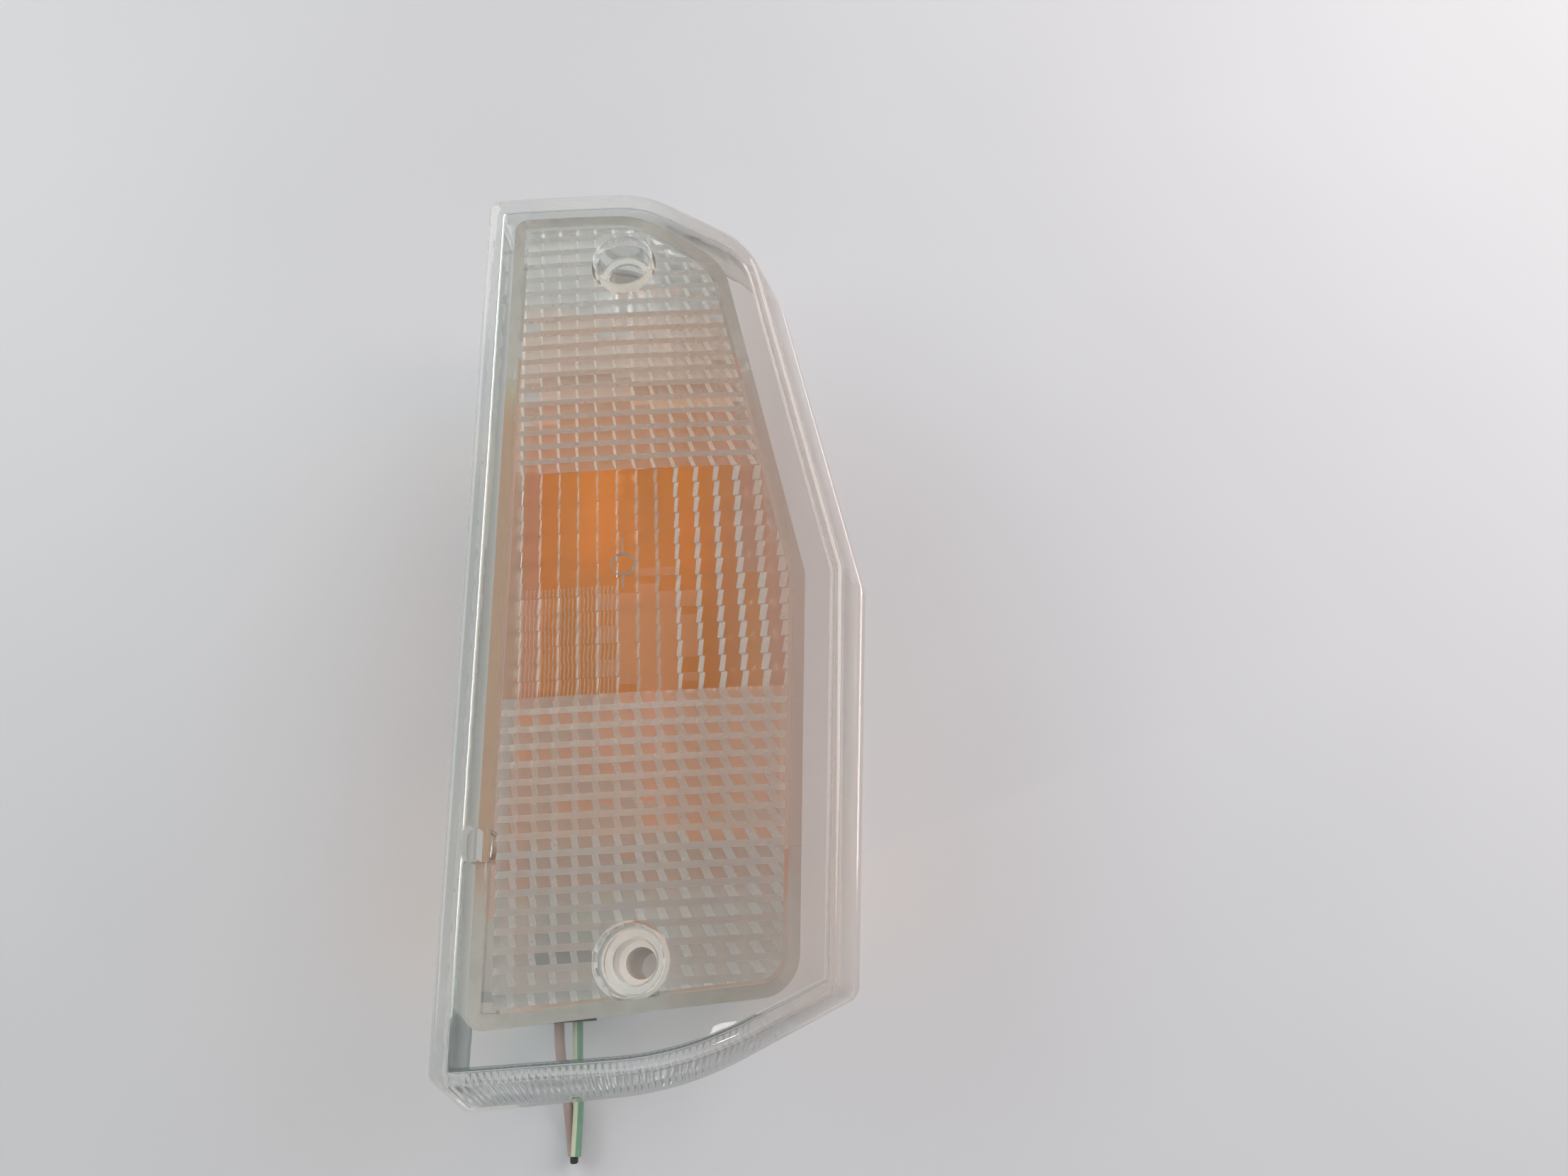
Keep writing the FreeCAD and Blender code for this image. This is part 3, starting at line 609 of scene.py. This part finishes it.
def build_leads():
    """Both leads, with the green one's stripe, riding on the housing in place of the CAD leads."""
    satin = (0.3, 0.45)
    tan = plain_material("brown_sheath", (0.36, 0.26, 0.235), (0.42, 0.31, 0.28), satin, bumpy=0.1)
    leaf = plain_material("green_sheath", (0.13, 0.27, 0.18), (0.17, 0.32, 0.22), satin, bumpy=0.1)
    cream = plain_material("cream_stripe", (0.50, 0.52, 0.38), (0.56, 0.58, 0.43), satin)
    brown = build_tube("brown_wire", BROWN_ROUTE, LEAD_R, tan)
    green = build_tube("green_wire", GREEN_ROUTE, LEAD_R, leaf)
    shifted = [Vector(place) + Vector(STRIPE_SHIFT) for place in GREEN_ROUTE]
    stripe = build_tube("green_wire_stripe", shifted, STRIPE_R, cream)
    put(brown, "housing", "brown_lead")
    put(green, "housing", "green_lead")
    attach(stripe, "housing")


build_camera()
build_floor()
build_light()
build_leads()


# ---- finishes of the lens and the filter ---------------------------------------------------------
LAMP_TINT = (0.93, 0.93, 0.92)
AMBER_TINT = (1.0, 0.68, 0.2)


def acrylic_material():
    """The lens's clear moulding, tinted more pink and darker to the right as a painted shade, and milkier
    there as a painted reflection of the room light, as its border looks in the photograph.
    """
    material = clear_material("clear_acrylic", (1.0, 1.0, 1.0), (0.01, 0.04), LAMP_TINT, 0.98)
    tree = material.node_tree
    place = tree.nodes.new("ShaderNodeTexCoord")
    split = tree.nodes.new("ShaderNodeSeparateXYZ")
    across = tree.nodes.new("ShaderNodeMapRange")
    across.inputs["From Min"].default_value = LENS_LOW.x * MM
    across.inputs["From Max"].default_value = LENS_HIGH.x * MM
    tree.links.new(place.outputs["Object"], split.inputs["Vector"])
    tree.links.new(split.outputs["X"], across.inputs["Value"])
    shader = tree.nodes["Principled BSDF"]
    # Towards the right: a painted pinkish shade in the colour, and a painted veil of reflected room light in
    # the clearness
    pink_painted_shade = [(0.45, (0.90, 0.915, 0.90)), (0.8, (0.66, 0.60, 0.565))]
    painted_reflection_veil = [(0.6, (0.98, 0.98, 0.98)), (0.85, (0.78, 0.78, 0.78))]
    colour = ramp(tree, across.outputs["Result"], pink_painted_shade)
    tree.links.new(colour, shader.inputs["Base Color"])
    haze = ramp(tree, across.outputs["Result"], painted_reflection_veil)
    tree.links.new(haze, shader.inputs["Transmission Weight"])
    return material


def lens_materials():
    """The lens's finishes, in the order of the slots that are named below."""
    return [
        acrylic_material(),
        clear_material("prism_window", (0.93, 0.91, 0.88), (0.08, 0.14), LAMP_TINT),
        # Painted shade with a faint painted reflection: a duller, browner, slightly milky patch of the
        # window
        clear_material("prism_painted_veil", (0.86, 0.79, 0.72), (0.15, 0.25), LAMP_TINT, 0.94),
        # Painted amber glow: the filter's amber light coloured onto clear prisms, here and in the warm
        # finishes below
        clear_material("prism_amber_glow", (0.49, 0.325, 0.23), (0.15, 0.3), LAMP_TINT, 0.7),
        clear_material("prism_warm", (0.66, 0.52, 0.43), (0.15, 0.3), LAMP_TINT, 0.7),
        clear_material("prism_pale", (0.51, 0.515, 0.49), (0.15, 0.3), LAMP_TINT, 0.65),
        # Darker copies for the steep sides: painted shade over a frosted finish
        clear_material("prism_shaded_edge", (0.32, 0.325, 0.315), (0.3, 0.45), LAMP_TINT, 0.5),
        clear_material("prism_shaded_warm_edge", (0.365, 0.31, 0.27), (0.3, 0.45), LAMP_TINT, 0.5),
        # Lighter copies for the steep sides: painted highlights over a frosted finish
        clear_material("prism_bright", (0.50, 0.495, 0.475), (0.2, 0.35), LAMP_TINT, 0.3),
        clear_material("prism_warm_bright", (0.50, 0.43, 0.375), (0.2, 0.35), LAMP_TINT, 0.3),
        # Tinted dark: painted shade in the fluted band
        clear_material("moulded_flutes", (0.29, 0.34, 0.33), (0.07, 0.12), LAMP_TINT, 0.9),
        # A faint milky veil that lightens the holes and the inner wall: painted light
        clear_material("bored_hole", (0.84, 0.88, 0.90), (0.05, 0.12), LAMP_TINT, 0.88),
        clear_material("inner_wall", (0.84, 0.87, 0.86), (0.05, 0.12), LAMP_TINT, 0.9),
        # Lighter copies for the steep sides of the upper rows: painted light over a frosted finish
        clear_material("prism_lit", (0.56, 0.56, 0.54), (0.2, 0.35), LAMP_TINT, 0.2),
        clear_material("prism_warm_lit", (0.55, 0.475, 0.42), (0.2, 0.35), LAMP_TINT, 0.2),
    ]


def amber_materials():
    """The filter's window, and its flange, hazy and pale on the left and greyer on the right."""
    return [
        clear_material("amber_window", (0.80, 0.38, 0.02), (0.4, 0.5), AMBER_TINT, 0.85),
        clear_material("amber_flange", (0.47, 0.45, 0.38), (0.3, 0.45), (1.0, 0.93, 0.8), 0.45),
        clear_material("clear_flange", (0.50, 0.47, 0.44), (0.3, 0.45), (1.0, 0.97, 0.93), 0.45),
    ]


# ---- the lens ------------------------------------------------------------------------------------
COLUMN_EDGES = [COLUMN_START + k * COLUMN_PITCH + COLUMN_GROWTH * k * k for k in range(COLUMNS + 1)]
CLEAR, WINDOW, PAINTED_VEIL, AMBER_GLOW, WARM, PALE = range(6)
SHADED_EDGE, SHADED_WARM_EDGE, BRIGHT, WARM_BRIGHT, FLUTED, BORED, INNER_WALL, LIT, WARM_LIT = range(6, 15)


def in_middle(y):
    """True in the band of nearly flat panes."""
    return MIDDLE_Y[0] <= y <= MIDDLE_Y[1]


def rightness(k, first):
    """0 up to a first column, then rising towards 1 beyond the last one."""
    return max(0.0, (k - first) / (COLUMNS - first))


def riser_share(k, y):
    """The part of a prism column's width that its steep side takes, more to the right."""
    start, more = MIDDLE_RISER if in_middle(y) else UPPER_RISER if y > 0 else LOWER_RISER
    return start + more * rightness(k, RISERS_GROW_FROM)


def row_lines():
    """(y, share of the slope reached, is the next strip steep) for every line of points."""
    lines = []
    for j in range(-ROWS_BELOW, MIDDLE_ROWS + ROWS_ABOVE):
        y = MIDDLE_Y[0] + j * ROW_PITCH
        row = LOWER_LINES if j < 0 else MIDDLE_LINES if j < MIDDLE_ROWS else UPPER_LINES
        lines += [(y + share * ROW_PITCH, along, steep) for share, along, steep in row]
    return lines


def pane_tilt(k, y):
    """A share from 0 to 1 that differs from pane to pane, so neighbours catch the light differently."""
    row = math.floor((y - MIDDLE_Y[0]) / ROW_PITCH)
    return 0.5 + 0.5 * math.sin(TILT_TURNS[0] * k + TILT_TURNS[1] * row)


def prism_slope(k, y, along):
    """(depth, sideways lean) that a point has gained along a prism's slope."""
    grown = rightness(k, PANES_GROW_FROM)
    if in_middle(y):
        wave = WAVE * math.sin(WAVE_TURNS[0] * y + WAVE_TURNS[1] * k)
        lean = (PANE_LEAN[0] + PANE_LEAN[1] * grown**LEAN_POWER) * along + wave
        return PANE_DROP * pane_tilt(k, y) * along, lean
    depth = CROSSED_STEP * along + (BULGE if along == 0.5 else 0.0)
    return depth, SHEAR * (LEAST_SHEAR + grown) * along * (1.0 if y < 0 else -1.0)


def column_line(k, y, along):
    """(x, depth, kind of the next strip) for one column's points at height y."""
    left = COLUMN_EDGES[k]
    face_width = (COLUMN_EDGES[k + 1] - left) * (1.0 - riser_share(k, y))
    step = PANE_STEP * (LEAST_STEP + rightness(k, PANES_GROW_FROM))
    depth_y, lean = prism_slope(k, y, along)
    micro = MICRO_COLUMNS[0] <= k <= MICRO_COLUMNS[1]
    parts = 2 * MICRO_FLUTES if micro else 2
    points = []
    for i in range(parts + 1):
        u = i / parts
        depth = step * u + depth_y + BULGE * 4 * u * (1 - u)
        flute = micro and i % 2 and MICRO_Y[0] < y < MICRO_Y[1]
        if flute:
            depth += MICRO_DEPTH
        kind = "side" if i == parts else "flute" if flute and i % 4 == 1 else "face"
        points.append((left + face_width * u + lean, PRISM_BASE + depth, kind))
    return points


def in_window(k, y):
    """The nearly flat prisms in the middle, which have little haze or none."""
    first, last = LOWER_WINDOW if y < 0 else UPPER_WINDOW
    return MIDDLE_Y[0] - 0.01 < y < MIDDLE_Y[1] and first <= k <= last


def is_warm(k, y):
    """True where a prism outside the window gets the painted warm glow: not at the left, nor at either end.
    """
    scatter = pane_tilt(k, y) - 0.5
    between = WARM_Y[0] + RAGGED_Y * scatter < y < WARM_Y[1] + RAGGED_Y * scatter
    wander, first = UPPER_WARM if y > 0 else LOWER_WARM
    return between and k + wander * scatter > first


def pane_slot(k, y):
    """A prism face's finish: clear, or a painted veil, in the window; a painted amber glow above and beside
    it; else a painted warm glow, or pale.
    """
    scatter = pane_tilt(k, y) - 0.5
    if in_window(k, y):
        x = (COLUMN_EDGES[k] + COLUMN_EDGES[k + 1]) / 2
        off = ((x - VEIL_CENTRE[0]) / VEIL_REACH[0]) ** 2 + ((y - VEIL_CENTRE[1]) / VEIL_REACH[1]) ** 2
        return PAINTED_VEIL if off + VEIL_RAGGED * scatter < 1.0 else WINDOW
    if MIDDLE_Y[0] < y < AMBER_GLOW_TO_Y + RAGGED_Y * scatter:
        return AMBER_GLOW
    return WARM if is_warm(k, y) else PALE


def edge_slot(k, y, in_row):
    """A steep side's finish, a frosted one with painted light and shade on it: pale, or bright with painted
    highlights, in the window; dark with painted shade in the rows below; lit with painted light in those
    above; else bright with painted highlights.
    """
    if in_window(k, y):
        return PALE if k < BRIGHT_FROM else BRIGHT
    warm = WARM_Y[0] < y < WARM_Y[1]
    if in_row and y < 0:
        return SHADED_WARM_EDGE if warm else SHADED_EDGE
    if in_row:
        return WARM_LIT if warm else LIT
    return WARM_BRIGHT if warm else BRIGHT


def strip_slot(kind, k, y, steep):
    """The finish of one face under the slab."""
    if steep or kind == "side":
        return edge_slot(k, y, steep)
    return PALE if kind == "flute" else pane_slot(k, y)


def under_face(x, y):
    """The inner side of the lens face."""
    return crown(x) - WALL


def into_face(x, y):
    """A surface in the middle of the lens face, where ribs and posts end inside it."""
    return crown(x) - WALL / 2


def slab_rows(skin, lines):
    """Add the slab's points: (first low one, first top one, the line's columns) for each line."""
    rows = []
    for y, along, _ in lines:
        row = [(*point, k) for k in range(COLUMNS) for point in column_line(k, y, along)]
        start = len(skin.points)
        skin.points += [Vector((x, y, under_face(x, y) - depth)) for x, depth, *_ in row]
        skin.points += [Vector((x, y, into_face(x, y))) for x, *_ in row]
        rows.append((start, start + len(row), row))
    return rows


def prism_slab(materials):
    """The grid of prisms as one closed slab, wider than the zone that it's trimmed to."""
    skin = Skin()
    lines = row_lines()
    rows = slab_rows(skin, lines)
    last = len(rows[0][2]) - 1
    for j in range(len(lines) - 1):
        (low_a, top_a, row), (low_b, top_b, _) = rows[j], rows[j + 1]
        y_mid = (lines[j][0] + lines[j + 1][0]) / 2
        for i in range(last):
            slot = strip_slot(*row[i][2:], y_mid, lines[j][2])
            skin.face((low_a + i, low_a + i + 1, low_b + i + 1, low_b + i), slot)
            skin.face((top_a + i, top_b + i, top_b + i + 1, top_a + i + 1), CLEAR)
        for i in (0, last):
            skin.face((low_a + i, low_b + i, top_b + i, top_a + i), CLEAR)
    for low, top, _ in (rows[0], rows[-1]):
        for i in range(last):
            skin.face((low + i, low + i + 1, top + i + 1, top + i), CLEAR)
    return skin.piece("prisms", materials)


def fluted(flat):
    """Fine scallops along the inner side of the lower wall, fading out at both ends."""
    run = 0.0
    result = []
    for i, p in enumerate(flat):
        if i:
            run += (p - flat[i - 1]).length
        right = min(1.0, max(0.0, (FLUTES_X[1] - p.x) / FLUTES_FADE[1]))
        left = min(1.0, max(0.0, (p.x - FLUTES_X[0]) / FLUTES_FADE[0]))
        fade = right * left
        deep = FLUTE_DEPTH * fade * abs(math.sin(math.pi * run / FLUTE_PITCH))
        result.append(p + Vector((0.0, deep)) if p.y < FLUTES_BELOW_Y else p)
    return result


def spread_inside(skin, ring):
    """Points spread over the area within a ring, clear of its edge."""
    edge = [skin.points[i].to_2d() for i in ring]
    spread = [Vector((x, y)) for x in SPREAD_X for y in SPREAD_Y]
    return [p for p in spread if inside(p, edge) and all((p - q).length > SPREAD_CLEAR for q in edge)]


def wall_ring(z, distance):
    """The lens outline at height z, moved inwards by a distance."""
    counts = side_counts(FRONT_OUTLINE, WALL_SPACING, FLUTE_SPACING)
    arcs = arc_counts(FRONT_OUTLINE, FLUTE_SPACING)
    return sampled(inset(lens_section(z), distance), counts, arcs)


def edge_rings(skin, depth, radius, steps):
    """Rings round a rounded edge, up to a face at a depth below the crowned one."""
    rings = []
    for k in range(steps + 1):
        angle = math.pi / 2 * k / steps
        drop = depth + radius * (1 - math.sin(angle))
        flat = wall_ring(FRONT_Z - drop, depth + radius * (1 - math.cos(angle)))
        rings.append(skin.ring(flat, lambda x, y, drop=drop: crown(x) - drop))
    return rings


def lens_shell(materials):
    """The cup with its crowned face, rounded edges and fluted lower wall."""
    skin = Skin()
    outer = [skin.ring(wall_ring(SKIRT_Z, 0.0), SKIRT_Z)]
    outer += edge_rings(skin, 0.0, EDGE_ROUND, EDGE_STEPS)
    inner = [skin.ring(wall_ring(SKIRT_Z, WALL), SKIRT_Z)]
    for z in (SKIRT_Z + FLUTES_CLEAR, FRONT_Z - WALL - INNER_ROUND - FLUTES_CLEAR):
        inner.append(skin.ring(fluted(wall_ring(z, WALL)), z))
    inner += edge_rings(skin, WALL, INNER_ROUND, INNER_STEPS)
    skin.band(outer[0], inner[0])
    for a, b in zip(outer, outer[1:]):
        skin.band(a, b)
    for a, b in zip(inner, inner[1:]):
        skin.band(a, b, INNER_WALL, FLUTED)
    skin.fill(outer[-1], [], spread_inside(skin, outer[-1]), crown)
    skin.fill(inner[-1], [], spread_inside(skin, inner[-1]), under_face)
    return skin.piece("lens_shell", materials)


def rim_ring(distance):
    """The outline of the lens's rib, moved inwards by a distance."""
    counts = side_counts(RIM_OUTLINE, RIM_SPACING)
    return sampled(inset(RIM_OUTLINE, distance), counts, [ARC_POINTS] * len(RIM_OUTLINE))


def closed_tube(name, chain_of_rings, materials, slot=CLEAR):
    """A closed ring of bands, such as a rib or a tube wall."""
    skin = Skin()
    rings = [skin.ring(flat, height) for flat, height in chain_of_rings]
    for a, b in zip(rings, rings[1:] + rings[:1]):
        skin.band(a, b, slot)
    return skin.piece(name, materials)


def closed_plug(name, chain_of_rings, materials, slot=CLEAR):
    """Stacked rings closed by a flat face at each end."""
    skin = Skin()
    rings = [skin.ring(flat, height) for flat, height in chain_of_rings]
    for a, b in zip(rings, rings[1:]):
        skin.band(a, b, slot)
    skin.fill(rings[0], [], [], chain_of_rings[0][1], lambda x, y: slot)
    skin.fill(rings[-1], [], [], chain_of_rings[-1][1], lambda x, y: slot)
    return skin.piece(name, materials)


def lens_rib(materials):
    """The rib that stands on the gasket, cut back where the filter's flange lies under it."""
    def foot(x, y):
        if FLANGE_RELIEF_Y[0] < y < FLANGE_RELIEF_Y[1]:
            return FLANGE_TOP + FLANGE_GAP
        return GASKET_TOP + GASKET_GAP

    outer = rim_ring(0.0)
    inner = rim_ring(RIB_WIDTH)
    rings = [(outer, into_face), (outer, foot), (inner, foot), (inner, into_face)]
    return closed_tube("rib", rings, materials)


def screw_tube(y, materials):
    """The tube round one fixing hole, still solid."""
    flat = circle(0, y, TUBE_R, BORE_POINTS)
    return closed_plug("tube", [(flat, TUBE_Z), (flat, into_face)], materials)


def screw_cutter(y, materials):
    """Bore, counterbore and rounded mouth of one screw hole."""
    def at(radius):
        return circle(0, y, radius, BORE_POINTS)

    rings = [
        (at(BORE_R), SKIRT_Z),
        (at(BORE_R), COUNTERBORE_FLOOR_Z - BORE_EDGE),
        (at(BORE_R + BORE_EDGE), COUNTERBORE_FLOOR_Z),
        (at(COUNTERBORE_R - BORE_EDGE), COUNTERBORE_FLOOR_Z),
        (at(COUNTERBORE_R), COUNTERBORE_FLOOR_Z + BORE_EDGE),
    ]
    for degrees in MOUTH_DEGREES:
        angle = math.radians(degrees)
        drop = MOUTH_ROUND * (1 - math.sin(angle))
        mouth = at(COUNTERBORE_R + MOUTH_ROUND * (1 - math.cos(angle)))
        rings.append((mouth, lambda x, y, drop=drop: crown(x) - drop))
    rings.append((at(COUNTERBORE_R + MOUTH_ROUND + CUTTER_SPARE), lambda x, y: crown(x) + CUTTER_ABOVE))
    return closed_plug("hole", rings, materials, BORED)


def corner_post(materials):
    """The small oblong post by the left wall."""
    x, y = POST_CENTRE
    reach = POST_HALF_LENGTH - POST_HALF_WIDTH
    flat = []
    for t in range(POST_POINTS):
        angle = 2 * math.pi * t / POST_POINTS
        side = reach if math.sin(angle) >= 0 else -reach
        turn = Vector((math.cos(angle), math.sin(angle))) * POST_HALF_WIDTH
        flat.append(Vector((x, y + side)) + turn)
    return closed_plug("post", [(flat, POST_Z), (flat, into_face)], materials)


def combine(target, tool, operation):
    """Join a closed piece to another, or cut it out, and remove the tool."""
    modifier = target.modifiers.new(operation, "BOOLEAN")
    modifier.object = tool
    modifier.operation = operation
    modifier.solver = "MANIFOLD"
    done = bpy.data.meshes.new_from_object(target.evaluated_get(bpy.context.evaluated_depsgraph_get()))
    target.modifiers.clear()
    target.data = done
    bpy.data.objects.remove(tool)


def centre_mark(materials):
    """A small moulded ring with a short line above and below it."""
    def foot(x, y):
        return under_face(x, y) - MARK_DEPTH

    x, y = MARK_CENTRE
    outer = circle(x, y, MARK_R + MARK_HALF_WIDTH, MARK_POINTS)
    inner = circle(x, y, MARK_R - MARK_HALF_WIDTH, MARK_POINTS)
    rings = [(outer, into_face), (outer, foot), (inner, foot), (inner, into_face)]
    pieces = [closed_tube("mark", rings, materials, SHADED_EDGE)]
    left, right = x - MARK_LINE_HALF_WIDTH, x + MARK_LINE_HALF_WIDTH
    below, above = MARK_LINE_REACH
    for y0, y1 in ((y - below * MARK_R, y - MARK_R), (y + MARK_R, y + above * MARK_R)):
        flat = [Vector(corner) for corner in ((left, y0), (right, y0), (right, y1), (left, y1))]
        pieces.append(closed_plug("mark_line", [(flat, foot), (flat, into_face)], materials, SHADED_EDGE))
    return pieces


def build_lens(materials):
    """The whole lens as one closed piece."""
    lens = lens_shell(materials)
    prisms = prism_slab(materials)
    zone = rim_ring(RIB_WIDTH + MOAT)
    low = crown(CROWN_X) - WALL - ZONE_DEPTH
    combine(prisms, closed_plug("zone", [(zone, low), (zone, crown)], materials), "INTERSECT")
    tools = [prisms, lens_rib(materials), corner_post(materials)] + centre_mark(materials)
    tools += [screw_tube(side * HOLE_Y, materials) for side in (-1, 1)]
    for tool in tools:
        combine(lens, tool, "UNION")
    for side in (-1, 1):
        combine(lens, screw_cutter(side * HOLE_Y, materials), "DIFFERENCE")
    lens.name = "lens_clear"
    lens.data.shade_smooth()
    lens.data.set_sharp_from_angle(angle=math.radians(SHARP_DEG))
    return lens


def build_filter(materials):
    """The amber filter; its flange has pale finishes, because the photograph shows that strip pale."""
    mesh = nodes["amber_filter"].data.copy()
    mesh.materials.clear()
    for material in materials:
        mesh.materials.append(material)
    for face in mesh.polygons:
        heights = [mesh.vertices[i].co.z / MM for i in face.vertices]
        low = GASKET_TOP - FLANGE_TOLERANCE
        flange = low < min(heights) and max(heights) < FLANGE_TOP + FLANGE_TOLERANCE
        flange_slot = 1 if face.center.x < 0 else 2
        face.material_index = flange_slot if flange else 0
    piece = bpy.data.objects.new("filter_amber", mesh)
    bpy.context.scene.collection.objects.link(piece)
    return piece


# ---- contact spring and filament -----------------------------------------------------------------
SPRING_WIRE_R = 0.35
SPRING_TURNS = 4.5
SPRING_STEPS = 36
SPRING_SIDES = 14
SPRING_GAP = 0.02
SPRING_EASED = 0.75
FILAMENT_COIL_R = 0.34
FILAMENT_WIRE_R = 0.09
FILAMENT_TURNS = 18
FILAMENT_STEPS = 12
FILAMENT_SIDES = 8
WIRE_SHARP_DEG = 50.0


def wire_piece(name, line, radius, sides, material):
    """A round wire along a line of points, closed at both ends."""
    points = []
    faces = []
    side = Vector((0, 0, 1))
    for i, p in enumerate(line):
        ahead = (line[min(i + 1, len(line) - 1)] - line[max(i - 1, 0)]).normalized()
        side = (side - ahead * side.dot(ahead)).normalized()
        other = ahead.cross(side)
        for k in range(sides):
            turn = 2 * math.pi * k / sides
            points.append((p + (side * math.cos(turn) + other * math.sin(turn)) * radius) * MM)
    for i in range(len(line) - 1):
        for k in range(sides):
            a, b = i * sides + k, i * sides + (k + 1) % sides
            faces.append((a, b, b + sides, a + sides))
    faces.append(tuple(range(sides)))
    faces.append(tuple(range(len(points) - sides, len(points))))
    mesh = bpy.data.meshes.new(name)
    mesh.from_pydata(points, [], faces)
    mesh.materials.append(material)
    return finished(mesh, name, WIRE_SHARP_DEG)


def build_spring(material):
    """The contact spring, with its end turns closed flat."""
    centre = (SPRING_LOW + SPRING_HIGH) / 2
    radius = (SPRING_HIGH.z - SPRING_LOW.z) / 2 - SPRING_WIRE_R
    low = SPRING_LOW.y + SPRING_WIRE_R + SPRING_GAP
    rise = SPRING_HIGH.y - SPRING_LOW.y - 2 * SPRING_WIRE_R - 2 * SPRING_GAP
    count = round(SPRING_TURNS * SPRING_STEPS)
    line = []
    for i in range(count + 1):
        share = i / count
        eased = share * share * (3 - 2 * share)
        turn = 2 * math.pi * i / SPRING_STEPS
        y = low + rise * ((1 - SPRING_EASED) * share + SPRING_EASED * eased)
        line.append(Vector((centre.x + radius * math.cos(turn), y, centre.z + radius * math.sin(turn))))
    spring = wire_piece("spring_coil", line, SPRING_WIRE_R, SPRING_SIDES, material)
    put(spring, "housing", "contact_spring")
    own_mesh(spring)


def build_filament(material):
    """The coiled wire of the filament, bowed between its two supports."""
    low, high = node_box("filament")
    coil_r = FILAMENT_COIL_R
    reach = (high.x - low.x) / 2 - FILAMENT_WIRE_R
    bow = high.y - low.y - 2 * (coil_r + FILAMENT_WIRE_R)
    start_y = low.y + coil_r + FILAMENT_WIRE_R
    middle_z = (low.z + high.z) / 2
    count = FILAMENT_TURNS * FILAMENT_STEPS
    line = []
    for i in range(count + 1):
        share = 2 * i / count - 1
        turn = 2 * math.pi * i / FILAMENT_STEPS
        y = start_y + bow * (1 - share * share) + coil_r * math.cos(turn)
        line.append(Vector((share * reach, y, middle_z + coil_r * math.sin(turn))))
    coil = wire_piece("filament_coil", line, FILAMENT_WIRE_R, FILAMENT_SIDES, material)
    put(coil, "bulb", "filament")


# ---- finishes of the other parts -----------------------------------------------------------------
GLASS_ALPHA = 0.15
HOUSING_TINT = (0.88, 0.90, 0.92)


def glass_material():
    """The bulb's thin glass, made see-through without bending light."""
    material = plain_material("bulb_glass", (0.95, 0.97, 0.97), (0.98, 1.0, 1.0), (0.02, 0.05))
    material.node_tree.nodes["Principled BSDF"].inputs["Alpha"].default_value = GLASS_ALPHA
    return material


def dress_parts():
    """The finishes of the CAD parts, and the spring and the filament."""
    satin = (0.35, 0.45)
    white = plain_material("white_plastic", (0.53, 0.52, 0.50), (0.555, 0.545, 0.52), satin, milky=0.5)
    let_lamps_through(white.node_tree, HOUSING_TINT)
    rubber = plain_material("grey_rubber", (0.28, 0.27, 0.255), (0.34, 0.33, 0.31), (0.7, 0.85), bumpy=0.3)
    steel = plain_material("zinc_steel", (0.50, 0.50, 0.46), (0.66, 0.65, 0.60), (0.25, 0.4), 1.0)
    nickel = plain_material("nickel_plate", (0.60, 0.56, 0.46), (0.74, 0.70, 0.58), (0.2, 0.35), 1.0)
    wire = plain_material("support_wire", (0.42, 0.42, 0.43), (0.52, 0.52, 0.53), (0.3, 0.4), 1.0)
    solder = plain_material("solder", (0.48, 0.48, 0.49), (0.58, 0.58, 0.60), (0.4, 0.6), 1.0, bumpy=0.5)
    brass = plain_material("brass", (0.66, 0.48, 0.20), (0.80, 0.62, 0.30), (0.2, 0.35), 1.0)
    bright = plain_material("reflector_sheet", (0.66, 0.66, 0.66), (0.74, 0.74, 0.74), (0.28, 0.38), 0.85)
    board = plain_material("phenolic_board", (0.20, 0.10, 0.05), (0.30, 0.16, 0.08), (0.5, 0.6))
    matt = (0.5, 0.7)
    black = plain_material("black_rubber", (0.02, 0.02, 0.02), (0.035, 0.035, 0.035), matt, bumpy=0.3)
    glass = glass_material()
    finishes = {
        "lens_gasket": rubber, "housing": white, "reflector": bright,
        "bulb_glass": glass, "glass_stem": glass, "filament_supports": wire,
        "bulb_cap": nickel, "bulb_insulator": black, "bulb_contact": solder,
        "socket_shell": steel, "contact_disc": board, "contact_plunger": brass,
        "socket_end_plate": board, "signal_terminal": brass, "earth_terminal": brass,
        "socket_bracket": steel, "bracket_screws": steel, "lead_grommet": black,
        "lead_end_sleeve": black,
    }
    for name, material in finishes.items():
        dress(name, material)
    build_spring(steel)
    build_filament(wire)


put(build_lens(lens_materials()), "lens", "outer_lens")
put(build_filter(amber_materials()), "lens", "amber_filter")
dress_parts()
